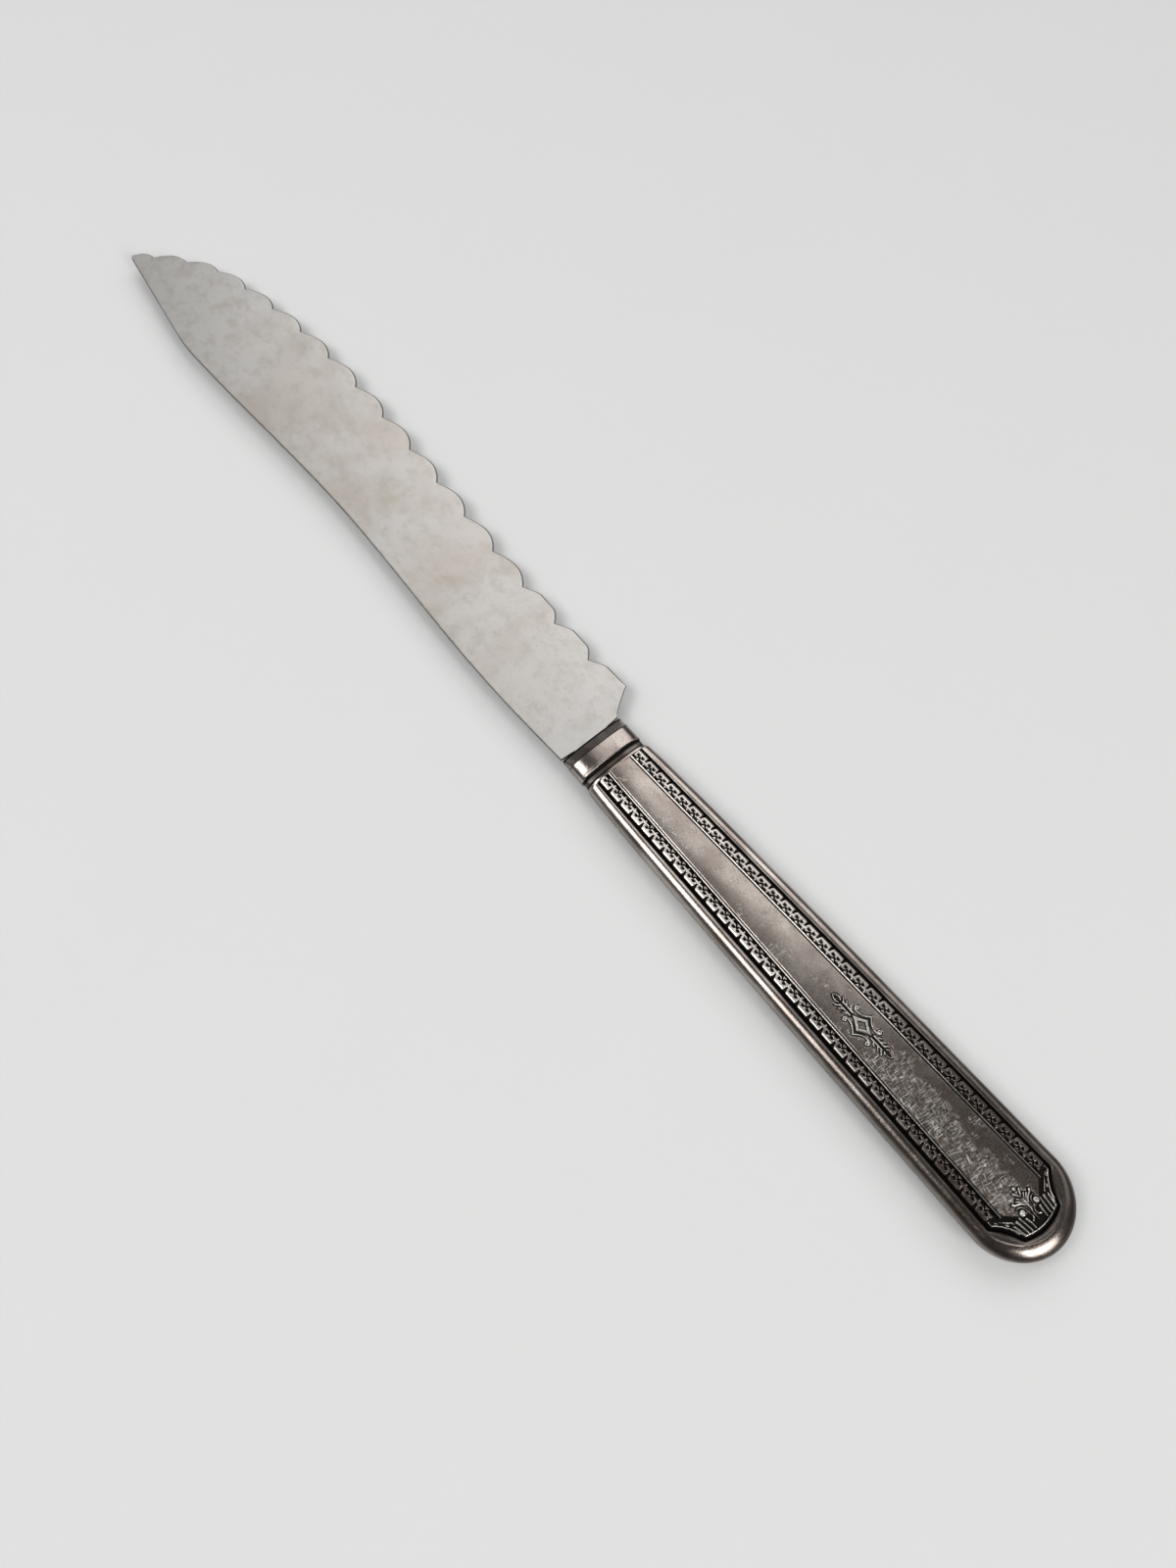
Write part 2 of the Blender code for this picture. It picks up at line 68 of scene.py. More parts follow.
# Handle, measured from the shoulder at the blade
HANDLE_LENGTH = (SHELL_HIGH.x - SHELL_LOW.x) / MM
SHOULDER = SHELL_LOW.x / MM
BUTT_WIDTH = (SHELL_HIGH.y - SHELL_LOW.y) / MM
PANEL = SHELL_HIGH.z / MM / 2  # height of the flat panel over the seam
SEAM_GAP = SHELL_LOW.z / MM - PANEL  # half the solder between the shells
COLLAR_WIDTH = 14.9
FLARE_POWER = 0.6  # how fast the sides spread from the collar
SHEET = 0.5
LIP_LENGTH = 2.4
LIP_HEIGHT = 1.2
LIP_INSET = 0.1
COLLAR_HEIGHT = 2.7
COLLAR_END = 6.0
COLLAR_SQUARENESS = 2.8
RIDGE_RISE = 0.12  # raised edge of the collar beside the cove
RIDGE_WIDTH = 0.95
RIDGE_EDGE = 0.14  # its steep side
COVE_WIDTH = 2.0
COVE_DEPTH = 0.6
COVE_INDENT = 0.25
COVE_SQUARENESS = 4
COVE_LANDING = 0.55  # share of the cove from which its floor rises to the land
LAND_START = COLLAR_END + COVE_WIDTH
BORDER_START = LAND_START + 0.5
BORDER_EDGE = 0.08  # half the step from the land to the border
END_CENTRE = HANDLE_LENGTH - BUTT_WIDTH / 2
SLOT_SIZE = (4.55, 0.8)  # half width and half height of the opening for the tang
SLOT_SQUARENESS = 12
HOLLOW_ROOF = 2.1
HOLLOW_SHARES = (1, 0.95, 0.8, 0.45)  # rows of the inner face, as shares of its half width

# Stamped frame, as offsets outwards from the bead line
BEAD_AT_COLLAR = 2.85
BEAD_AT_BUTT = 4.95
FRAME_EDGE = 2.3  # foot of the border's bevelled outer face
BEVEL_WIDTH = 0.32
BEVEL_DROP = 0.17
BORDER_DROP = 0.4  # tops of the border under the panel
GROUND_DEPTH = 0.35  # ground of the cuts, under the tops
GROOVE = (0.05, 0.3, 1.4)  # start, end and depth under the panel, outside the frame's edge
ROLL_FOOT = (0.5, 1.16)  # distance outside the frame's edge, and depth under the panel
ROLL_WIDTH = (1.65, 2.9)  # rolled rim from its crest to the side, along the handle and at the butt
ROLL_DROP = 0.8
ROLL_SLOPE = 0.36  # fall of the roll's broad outer face
ROLL_SQUARENESS = 4

# Frame's end at the butt
FRAME_TIP = 116.7
FRAME_BOW = 0.8
FRAME_TURN = 4.0  # half width of the bowed end
SCOOP_PULL = (0.38, 0.68)  # how far the hollow corner is drawn in, along and across

# Fineness of the shells
COLLAR_STEP = 0.09
BORDER_START_REACH = 0.3  # finer stretch before and after the start of the border
BORDER_START_STEPS = 12
WALL_ROWS = 10
ROLL_ROWS = 7
BORDER_ROWS = 24
BEAD_ROWS = 9
PANEL_ROWS = 16
BEAD_REACH = (0.3, 0.45)  # finer stretch outside and inside the bead line
END_STATIONS = 84
EDGE_PARTS = 24  # straight parts that stand for the frame's end when distances are measured
FINE_CUTS = 2  # further cuts in the panel's faces under the medallion and the spray
WELD = 1e-7  # metres within which the two sides are joined at the tip
SHELL_CREASE = 70  # degrees over which an edge is left sharp
BLADE_CREASE = 50


# Curves and distances

def mix(start, end, share):
    return start + (end - start) * share


def ease(start, end, value):
    """Smooth step from 0 at start to 1 at end."""
    share = np.clip((value - start) / (end - start), 0, 1)
    return share * share * (3 - 2 * share)


def oval_height(share, height, squareness):
    """Height of a superellipse at a share of its half width."""
    return height * np.clip(1 - np.clip(share, 0, 1) ** squareness, 0, 1) ** (1 / squareness)


def smooth_path(points, steps=6):
    """Points on a smooth curve through the given ones."""
    knots = np.array([points[0], *points, points[-1]], float)
    path = [knots[1]]
    for before, start, end, after in zip(knots, knots[1:], knots[2:], knots[3:]):
        for step in range(1, steps + 1):
            t = step / steps
            bend = (2 * before - 5 * start + 4 * end - after) * t
            bend = bend + (3 * start - before - 3 * end + after) * t * t
            path.append(start + ((end - before) + bend) * t / 2)
    return np.array(path)


def strand_distance(x, y, points, start_radius, end_radius):
    """Distance from the surface of a round strand along a smooth path; it is negative inside."""
    path = smooth_path(points) if len(points) > 2 else np.array(points, float)
    nearest = np.full(x.shape, np.inf)
    spans = len(path) - 1
    for number in range(spans):
        (x0, y0), (x1, y1) = path[number], path[number + 1]
        length = max((x1 - x0) ** 2 + (y1 - y0) ** 2, 1e-9)
        share = np.clip(((x - x0) * (x1 - x0) + (y - y0) * (y1 - y0)) / length, 0, 1)
        radius = mix(start_radius, end_radius, (number + share) / spans)
        gap = np.hypot(x - x0 - share * (x1 - x0), y - y0 - share * (y1 - y0)) - radius
        nearest = np.minimum(nearest, gap)
    return nearest


def volute(centre, radius, start, turn, inner=0.35, parts=6):
    """Points of a spiral that winds in about a centre, from a start angle through a turn, in degrees."""
    points = []
    for step in range(parts + 1):
        angle = math.radians(start + turn * step / parts)
        reach = radius * mix(1, inner, step / parts)
        points.append((centre[0] + reach * math.cos(angle), centre[1] + reach * math.sin(angle)))
    return points


# Plan of the handle

def half_width(distance):
    """Half width of the handle at the seam, up to the round end."""
    share = np.clip((distance - LAND_START) / (END_CENTRE - LAND_START), 0, 1)
    return mix(COLLAR_WIDTH, BUTT_WIDTH, share ** FLARE_POWER) / 2


def bead_offset(distance):
    """Half the spacing of the two straight bead lines."""
    share = (distance - BORDER_START) / (END_CENTRE - BORDER_START)
    return mix(BEAD_AT_COLLAR, BEAD_AT_BUTT, share)


def frame_end(share):
    """Frame's outer edge round the butt: a hollow corner, then a shallow bow."""
    start = np.array((END_CENTRE, BEAD_AT_BUTT + FRAME_EDGE))
    turn = np.array((FRAME_TIP - FRAME_BOW, FRAME_TURN))
    pull = start + (turn - start) * SCOOP_PULL
    t = np.clip(share * 2, 0, 1)[:, None]
    corner = mix(mix(start, pull, t), mix(pull, turn, t), t)
    left = np.clip(2 - share * 2, 0, 1)
    bow = np.stack((FRAME_TIP - FRAME_BOW * left * left, FRAME_TURN * left), axis=1)
    return np.where(share[:, None] <= 0.5, corner, bow)


def stations(unit_steps, pitch):
    """Plan of every cross section: its outer edge and frame edge, from the mouth to the butt."""
    before, after = BORDER_START - BORDER_START_REACH, BORDER_START + BORDER_START_REACH
    collar = np.arange(0, before, COLLAR_STEP)
    start = np.linspace(before, after, BORDER_START_STEPS, endpoint=False)
    step = pitch / unit_steps
    notch = UNIT_NOTCH - SHOULDER
    first = math.ceil((after - notch) / step)
    last = math.floor((END_CENTRE - notch) / step)
    distance = np.concatenate((collar, start, notch + step * np.arange(first, last)))
    side_edge = np.stack((distance, bead_offset(distance) + FRAME_EDGE), axis=1)
    side_outer = np.stack((distance, half_width(distance)), axis=1)
    share = np.linspace(0, 1, END_STATIONS)
    turn = share * math.pi / 2
    radius = BUTT_WIDTH / 2
    end_outer = np.stack((END_CENTRE + radius * np.sin(turn), radius * np.cos(turn)), axis=1)
    return np.concatenate((side_outer, end_outer)), np.concatenate((side_edge, frame_end(share)))


def frame_depth(distance, across):
    """Distance in from the frame's edge."""
    depth = bead_offset(distance) + FRAME_EDGE - across
    butt = distance > END_CENTRE - FRAME_EDGE
    outline = frame_end(np.linspace(0, 1, EDGE_PARTS + 1))
    for start, end in zip(outline, outline[1:]):
        to_end = strand_distance(distance[butt], across[butt], (start, end), 0, 0)
        depth[butt] = np.minimum(depth[butt], to_end)
    return depth


# Ornament, with x from the middle of the handle and y from its axis

UNIT_NOTCH = 0.13  # place of one notch between the border's units
SPRAY_START = 16  # units from there to the field of the leaf spray
NOTCH = (0.2, 0.42, 0.12)  # square side, and slanted side at its mouth and at its foot
NOTCH_DEPTHS = (0.7, 1.0)  # foot of the slanted side, and of the notch
EYE = (0.58, 0.93)  # along from the middle of a unit, and in from the frame's edge
EYE_SIZE = (0.34, 0.25)
CHEVRON = ((0, 1.1), (0.47, 1.76))
CHEVRON_RADIUS = 0.1
GAP = (0.96, 1.72)  # middle of the dark gap beside a chevron
GAP_SIZE = (0.32, 0.1)
GAP_ROUND = 0.08
CUT_EDGE = 0.06  # half the width of a slanted cut edge
BORDER_END = 1.93  # ends in a dark line beside the bead
CORNER_LINE = ((50.4, 5.05), (52.4, 2.8))  # slanted corner of the panel
PANEL_END = 53.2
MEDALLION_CENTRE = 13.45
MEDALLION_SIZE = (7.9, 2.8)
SPRAY_LEAVES = 47.9  # tip of the leaves, which lie on the panel

# Medallion strands in one quarter, from its centre: points, radius at the start and at the end
DIAMOND = (2.62, 1.56, 0.86)  # half length, half width and how hollow its sides are
DIAMOND_EYE = (1.02, 0.7)
DIAMOND_REACH = (0.9, 0.55)  # distance from the middle of a side to the centre, of diamond and eye
MEDALLION_STRANDS = (
    ([(0, 2.34), (0.5, 1.86), (1.15, 1.36), (1.9, 1.1), (2.75, 1.06)], 0.16, 0.15),
    (volute((2.75, 1.52), 0.46, -90, 430, 0.3), 0.15, 0.14),
    ([(2.6, 0.36), (3.9, 0.37), (5.2, 0.36)], 0.17, 0.14),
    ([(3.35, 0.62), (3.65, 0.85), (3.95, 0.98)], 0.16, 0.12),
    ([(4.3, 0.5), (4.6, 0.8), (4.85, 1.1)], 0.14, 0.14),
    ([(5.1, 0.45), (5.4, 0.78), (5.75, 1.1)], 0.14, 0.15),
    ([(5.7, 0.3), (6.15, 0.5), (6.6, 0.46), (7.35, 0.06)], 0.15, 0.12),
)
MEDALLION_VEIN = (((2.9, 0), (6.9, 0)), 0.07, 0.05)
VEIN_EDGE = 0.1
PINCH = (0.1, 0.4)  # where strand and diamond are both nearer than this, a dark line is left
HALO = 0.8  # depth of the sunk outline, whose darkness is painted shade round the strands
HALO_REACH = (0.06, 0.26)
EYE_RIM = (0.04, 0.12)  # reach of the line round the diamond's eye
EYE_EDGE = 0.05
WELL_DEPTH = 0.5
WELL_TARNISH = 0.55
RIM_TARNISH = 0.9
DIAMOND_SHINE = 0.6  # polish and painted highlight of the diamond beside that of the strands

# Leaf spray at the butt, on one side of the axis
SPRAY_STRANDS = (
    ([(51.2, 0), (52.4, 0), (54.7, 0)], 0.26, 0.12),
    ([(50.2, 0), (51.3, 0)], 0.08, 0.2),
    ([(48.7, 0), (48.75, 0)], 0.34, 0.34),
    ([(50.2, 0.14), (49.75, 0.38), (49.25, 0.72)], 0.12, 0.24),
    ([(50.9, 0.15), (50.5, 0.5), (50.1, 0.86)], 0.1, 0.16),
    ([(51.3, 0.2), (50.85, 0.72), (50.4, 1.22)], 0.1, 0.17),
    ([(51.7, 0.3), (51.05, 0.95), (50.8, 1.5), (50.6, 1.92)], 0.15, 0.2),
    ([(50.42, 1.98), (50.38, 2.02)], 0.26, 0.26),
    ([(52.7, 0.75), (53.4, 0.5), (54.0, 0.54), (54.3, 0.98)], 0.12, 0.17),
    ([(52.6, 0.78), (51.75, 1.0), (51.3, 1.5), (51.28, 2.05)], 0.13, 0.11),
    ([(52.2, 1.66), (52.3, 1.74)], 0.5, 0.5),
    ([(53.4, 1.66), (54.2, 1.5), (55.2, 1.42)], 0.25, 0.19),
    ([(52.6, 2.55), (53.5, 2.42), (55.15, 2.22)], 0.2, 0.2),
    ([(52.75, 3.32), (53.4, 3.2), (55.0, 3.0)], 0.3, 0.2),
    ([(53.0, 4.12), (54.85, 3.68)], 0.22, 0.18),
    ([(52.8, 4.9), (54.3, 4.35)], 0.16, 0.12),
    ([(51.0, 6.4), (51.6, 5.7), (52.3, 5.4)], 0.15, 0.13),
    ([(50.9, 5.5), (51.5, 4.9), (52.1, 4.2), (52.5, 3.9)], 0.13, 0.13),
    (volute((51.9, 4.75), 0.34, 0, 330), 0.13, 0.1),
    (volute((50.8, 6.2), 0.34, 90, 330), 0.13, 0.1),
)
SPRAY_BALL = (55.85, 0.22)  # place and radius of the knob on the frame's end
SPRAY_RIDGE = (0.3, 0.16)  # ridge round the spray: place inside the frame's edge, and half width
SPRAY_EDGE = 0.02  # half the step from the border to the field

# Widths over which raised forms are rounded
STRAND_ROUND = 0.16
DIAMOND_ROUND = 0.12
FLUTE_ROUND = 0.17
LEAF_ROUND = 0.2

# Panel and bead
PANEL_EDGE = (0.14, 0.2)  # start and end of the step up to the panel, inside its outline
PANEL_CUT = 0.28  # place of the fine cut inside the outline
CUT_REACH = (0.02, 0.16)  # distances from its middle between which it ends
CUT_DEPTH = 0.14
BEAD_DROP = 0.05  # top of the bead under the panel
BEAD_FALL = 0.16  # fall of the bead at its half width
BEAD_HALF = 0.15
BEAD_LIMIT = 0.24  # the bead meets the border within this distance
BEAD_INNER = 0.2  # and its finish ends this far inside
BEAD_END = CORNER_LINE[0][0] + 0.1
LEAF_RISE = 0.2
LEAF_SINK = 0.12  # sunk outline round a leaf

# Tarnish and painted light: 1 is black, 0 is plain plate and -1 is bright polish. The black is patina,
# and painted shade on the roll's wall, the lip and round the medallion's strands; the polish of the
# medallion and the leaves is also their painted highlight
BORDER_TARNISH = (1, -0.35)  # ground and tops
FLUTE_TARNISH = (1, -0.7)
FLUTE_TOPS = (0.1, 0.75)  # heights between which a flute turns bright
BEAD_TARNISH = (-0.7, 1)  # top and foot
BEAD_FOOT = (0.1, 0.22)  # distances from the bead line between which it darkens
CUT_TARNISH = 0.85
PANEL_DIRT = 0.25  # tarnish beside the outline
DIRT_REACH = (0.2, 1.3)
OUTLINE_TARNISH = 0.9
OUTLINE_REACH = (0.06, 0.3)  # distances from a leaf between which its outline fades
# Polish of the leaves and the medallion, which is also their painted highlight
LEAF_POLISH_AND_HIGHLIGHT = 0.9
MEDALLION_POLISH_AND_HIGHLIGHT = 0.8
POLISH_AND_HIGHLIGHT_FROM = (0.3, 0.9)  # heights between which a rounded top turns bright, as worn plate and painted highlight
LIP_SHADE = (1, 0.3)  # painted shade at the mouth and after it
LIP_MOUTH = (0.35, 0.5)  # distances from the mouth between which the lip turns lighter
LIP_LINE = (0.05, 0.14)  # reach of the dark line where the lip ends
LINE_TARNISH = 0.9
COLLAR_TARNISH = 0.12
LAND_TARNISH = 0.05
RIDGE_POLISH = 0.6
RIDGE_TOP = (0.2, 0.7)  # shares of its height between which it turns bright
COVE_TARNISH = (0.95, 0.55)  # at the edges and in the middle
COVE_MIDDLE = (0.15, 0.4)  # shares of the cove in from its edges between which it turns lighter
COVE_DARK = (0.05, 0.6)  # depths between which the cove darkens
# painted dark reflection, strongest midway up the roll's outer wall
WALL_DARK_REFLECTION = 0.45
ROLL_DARKENING = (0.1, 0.9)  # darkness at the crest and at the foot
ROLL_FADE = 1.5  # how late the roll darkens towards its foot
GROOVE_SIDE = (0.5, 0.4, 0.9)  # between groove and roll: share of the way out and up, and tarnish


def crest(distance, width):
    """Rounded height from 0 to 1 of something raised, by the distance inside its outline."""
    return np.sqrt(np.clip(1 - np.clip(1 + distance / width, 0, 1) ** 2, 0, 1))


def nearest_strand(x, y, strands):
    """Distance from the nearest of several strands."""
    return np.minimum.reduce([strand_distance(x, y, *strand) for strand in strands])


def border_relief(x, depth, pitch):
    """Raised share and tarnish of the border, a band with notches, eyes, chevrons and gaps cut in it."""
    past_notch = (x - UNIT_NOTCH + pitch / 2) % pitch - pitch / 2
    along = pitch / 2 - np.abs(past_notch)
    slant = mix(NOTCH[1], NOTCH[2], np.clip(depth / NOTCH_DEPTHS[0], 0, 1))
    notch = np.maximum.reduce((-past_notch - NOTCH[0], past_notch - slant, depth - NOTCH_DEPTHS[1]))
    eye = np.hypot((along - EYE[0]) / EYE_SIZE[0], (depth - EYE[1]) / EYE_SIZE[1]) - 1
    chevron = strand_distance(along, depth, CHEVRON, CHEVRON_RADIUS, CHEVRON_RADIUS)
    beside = np.abs(along - GAP[0]) - GAP_SIZE[0]
    below = np.abs(depth - GAP[1]) - GAP_SIZE[1]
    gap = np.hypot(np.maximum(beside, 0), np.maximum(below, 0)) - GAP_ROUND
    cut = np.minimum.reduce((notch, eye * EYE_SIZE[1], chevron, gap, BORDER_END - depth))
    top = ease(-CUT_EDGE / 2, CUT_EDGE * 1.5, cut)
    return ease(-CUT_EDGE, CUT_EDGE, cut), mix(*BORDER_TARNISH, top)


def medallion_relief(x, y):
    """Raised share, sunk share and tarnish of the medallion, with painted shade round its strands and
    painted highlight on their tops, drawn in one quarter and mirrored.
    """
    along = np.abs(x - MEDALLION_CENTRE)
    across = np.abs(y)
    length, width, hollow = DIAMOND
    diamond = ((along / length) ** hollow + (across / width) ** hollow - 1) * DIAMOND_REACH[0]
    eye = (along / DIAMOND_EYE[0] + across / DIAMOND_EYE[1] - 1) * DIAMOND_REACH[1]
    strand = nearest_strand(along, across, MEDALLION_STRANDS)
    vein = strand_distance(along, across, *MEDALLION_VEIN)
    strand_top = crest(strand, STRAND_ROUND)
    diamond_top = crest(diamond, DIAMOND_ROUND)
    raised = np.maximum(strand_top, diamond_top)
    pinched = (1 - ease(*PINCH, strand)) * (1 - ease(*PINCH, diamond))
    line = np.maximum(pinched * (1 - raised), 1 - ease(0, VEIN_EDGE, vein))
    # painted shade in the sunk outline round the strands
    halo = HALO * (1 - ease(*HALO_REACH, np.minimum(strand, diamond))) * (1 - raised)
    rim = 1 - ease(*EYE_RIM, np.abs(eye))
    well = 1 - ease(-EYE_EDGE, EYE_EDGE, eye)
    sunk = np.maximum.reduce((line, halo, WELL_DEPTH * well, rim))
    dark = np.maximum.reduce((line, halo, WELL_TARNISH * well, RIM_TARNISH * rim))
    # bright polish of the tops, which is also their painted highlight
    shine = DIAMOND_SHINE * ease(*POLISH_AND_HIGHLIGHT_FROM, diamond_top)
    polish_and_highlight = np.maximum(ease(*POLISH_AND_HIGHLIGHT_FROM, strand_top), shine)
    return raised * (1 - well), sunk, dark - MEDALLION_POLISH_AND_HIGHLIGHT * polish_and_highlight * (1 - dark)


def spray_relief(x, y):
    """Distance from the strands of the leaf spray and the flutes at the butt."""
    across = np.abs(y)
    knob = np.hypot(x - SPRAY_BALL[0], across) - SPRAY_BALL[1]
    return np.minimum(knob, nearest_strand(x, across, SPRAY_STRANDS))


# Stamped shells

def panel_inset(x, y):
    """Distances in from the panel's outline, with its slanted corners, and out from the bead line."""
    across = np.abs(y)
    (x0, y0), (x1, y1) = CORNER_LINE
    length = math.hypot(x1 - x0, y1 - y0)
    corner = ((x - x0) * (y0 - y1) + (across - y0) * (x1 - x0)) / length
    bead = across - bead_offset(x - SHOULDER)
    return -np.maximum(np.maximum(bead, corner), x - PANEL_END), bead


def surface(x, y, settings):
    """Height over the seam and tarnish of everything inside the frame's edge, with painted shade round
    the medallion's strands and painted highlight on the medallion and the leaves.
    """
    depth = frame_depth(x - SHOULDER, np.abs(y))
    inset, bead = panel_inset(x, y)
    pitch = settings.border_pitch / MM
    tops = PANEL - BORDER_DROP - BEVEL_DROP * (1 - np.clip(depth / BEVEL_WIDTH, 0, 1))
    raised, tarnish_and_painted_light = border_relief(x, depth, pitch)

    # Field of the spray beyond the last border unit
    last = UNIT_NOTCH + SPRAY_START * pitch
    field = x > SPRAY_LEAVES
    strand = spray_relief(x[field], y[field])
    ridge_at, ridge_half = SPRAY_RIDGE
    ridge = crest(np.abs(depth[field] - ridge_at) - ridge_half, ridge_half)
    flutes = np.maximum(crest(strand, FLUTE_ROUND), ridge)
    beyond = ease(last - SPRAY_EDGE, last + SPRAY_EDGE, x[field])
    raised[field] = mix(raised[field], flutes, beyond)
    flute_tarnish = mix(*FLUTE_TARNISH, ease(*FLUTE_TOPS, flutes))
    tarnish_and_painted_light[field] = mix(tarnish_and_painted_light[field], flute_tarnish, beyond)
    height = tops - GROUND_DEPTH * (1 - raised)

    # Panel, slightly crowned, with a fine cut beside the bead line
    half = bead_offset(x - SHOULDER)
    crown = settings.panel_crown / MM * np.clip(np.abs(y) / half, 0, 1) ** 2
    cut = 1 - ease(*CUT_REACH, np.abs(inset - PANEL_CUT))
    darkening = PANEL_DIRT * (1 - ease(*DIRT_REACH, inset))
    on_panel = ease(*PANEL_EDGE, inset)
    height = mix(height, PANEL - crown - CUT_DEPTH * cut, on_panel)
    tarnish_and_painted_light = mix(tarnish_and_painted_light, np.maximum(CUT_TARNISH * cut, darkening), on_panel)
    along_bead = (x < BEAD_END) & (np.abs(bead) < BEAD_LIMIT)
    roof = PANEL - BEAD_DROP - BEAD_FALL * np.clip(np.abs(bead) / BEAD_HALF, 0, 2) ** 2
    height = np.where(along_bead, np.maximum(roof, height), height)
    bead_tarnish = mix(*BEAD_TARNISH, ease(*BEAD_FOOT, np.abs(bead)))
    tarnish_and_painted_light = np.where(along_bead & (bead > -BEAD_INNER), bead_tarnish, tarnish_and_painted_light)

    # Leaves of the spray that lie on the panel, and the medallion
    leaf = crest(strand, LEAF_ROUND)
    outline = (1 - ease(*OUTLINE_REACH, strand)) * (1 - leaf)
    on = on_panel[field] > 0.5
    height[field] += np.where(on, LEAF_RISE * leaf - LEAF_SINK * outline, 0)
    wear_and_shine = np.maximum(tarnish_and_painted_light[field] * (1 - leaf), OUTLINE_TARNISH * outline)
    # bright polish of the leaves' tops, which is also their painted highlight
    wear_and_shine = wear_and_shine - LEAF_POLISH_AND_HIGHLIGHT * ease(*POLISH_AND_HIGHLIGHT_FROM, leaf)
    tarnish_and_painted_light[field] = np.where(on, wear_and_shine, tarnish_and_painted_light[field])
    near = (np.abs(x - MEDALLION_CENTRE) < MEDALLION_SIZE[0]) & (np.abs(y) < MEDALLION_SIZE[1])
    lifted, sunk, dark = medallion_relief(x[near], y[near])
    height[near] += (lifted - sunk) * settings.medallion_relief / MM
    tarnish_and_painted_light[near] = np.where(dark < 0, dark, np.maximum(tarnish_and_painted_light[near] * (1 - lifted), dark))
    return height, tarnish_and_painted_light


def collar_profile(distance):
    """Height on the axis, scale of the half width and tarnish along the collar, cove and land, with
    painted shade on the lip.
    """
    lip = np.clip(distance / LIP_LENGTH, 0, 1)
    height = mix(LIP_HEIGHT, COLLAR_HEIGHT, lip)
    to_cove = COLLAR_END - distance
    ridge = ease(RIDGE_WIDTH, RIDGE_EDGE, to_cove) * ease(0, RIDGE_EDGE, to_cove)
    height = height + RIDGE_RISE * ridge
    cove = np.clip((distance - COLLAR_END) / COVE_WIDTH, 0, 1)
    hollow = np.sqrt(np.clip(1 - (2 * cove - 1) ** COVE_SQUARENESS, 0, 1))
    base = mix(COLLAR_HEIGHT, PANEL, ease(COVE_LANDING, 1, cove))
    height = np.where(distance > COLLAR_END, base - (base - COLLAR_HEIGHT + COVE_DEPTH) * hollow, height)
    indent = 1 - (LIP_INSET * (1 - lip) + COVE_INDENT * hollow) / (COLLAR_WIDTH / 2)
    on_lip = mix(*LIP_SHADE, ease(*LIP_MOUTH, distance))
    tarnish_and_painted_light = np.where(distance < LIP_LENGTH, on_lip, COLLAR_TARNISH)
    tarnish_and_painted_light = tarnish_and_painted_light - RIDGE_POLISH * ease(*RIDGE_TOP, ridge)
    in_cove = mix(*COVE_TARNISH, ease(*COVE_MIDDLE, 0.5 - np.abs(cove - 0.5)))
    past_collar = mix(LAND_TARNISH, in_cove, ease(*COVE_DARK, hollow))
    tarnish_and_painted_light = np.where(distance > COLLAR_END, past_collar, tarnish_and_painted_light)
    line = LINE_TARNISH * (1 - ease(*LIP_LINE, np.abs(distance - LIP_LENGTH)))
    return height, indent, np.maximum(tarnish_and_painted_light, line)


def rim_rows(reach, roll):
    """Distance out from the frame's edge, height and tarnish of each row from the seam to the groove,
    with a painted dark reflection on the wall.
    """
    foot, foot_drop = ROLL_FOOT
    crest_at = reach - roll
    power = 2 / ROLL_SQUARENESS
    rows = []
    for turn in np.linspace(0, math.pi / 2, WALL_ROWS):
        out = roll * abs(math.cos(turn)) ** power
        height = (PANEL - ROLL_DROP - ROLL_SLOPE * out) * math.sin(turn) ** power
        # the wall's darkness is a painted dark reflection, strongest midway between seam and crest
        rows.append((crest_at + out, height, WALL_DARK_REFLECTION * math.sin(2 * turn) ** 2))
    for turn in np.linspace(0, math.pi / 2, ROLL_ROWS)[1:]:
        height = PANEL - mix(foot_drop, ROLL_DROP, math.cos(turn))
        dark = mix(*ROLL_DARKENING, math.sin(turn) ** ROLL_FADE)
        rows.append((mix(crest_at, foot, math.sin(turn)), height, dark))
    start, end, drop = GROOVE
    out, up, dark = GROOVE_SIDE
    profile = ((mix(end, foot, out), mix(drop, foot_drop, up), dark), (end, drop, 1), (start, drop, 1))
    rows += [(np.full_like(reach, out), PANEL - down, dark) for out, down, dark in profile]
    return rows


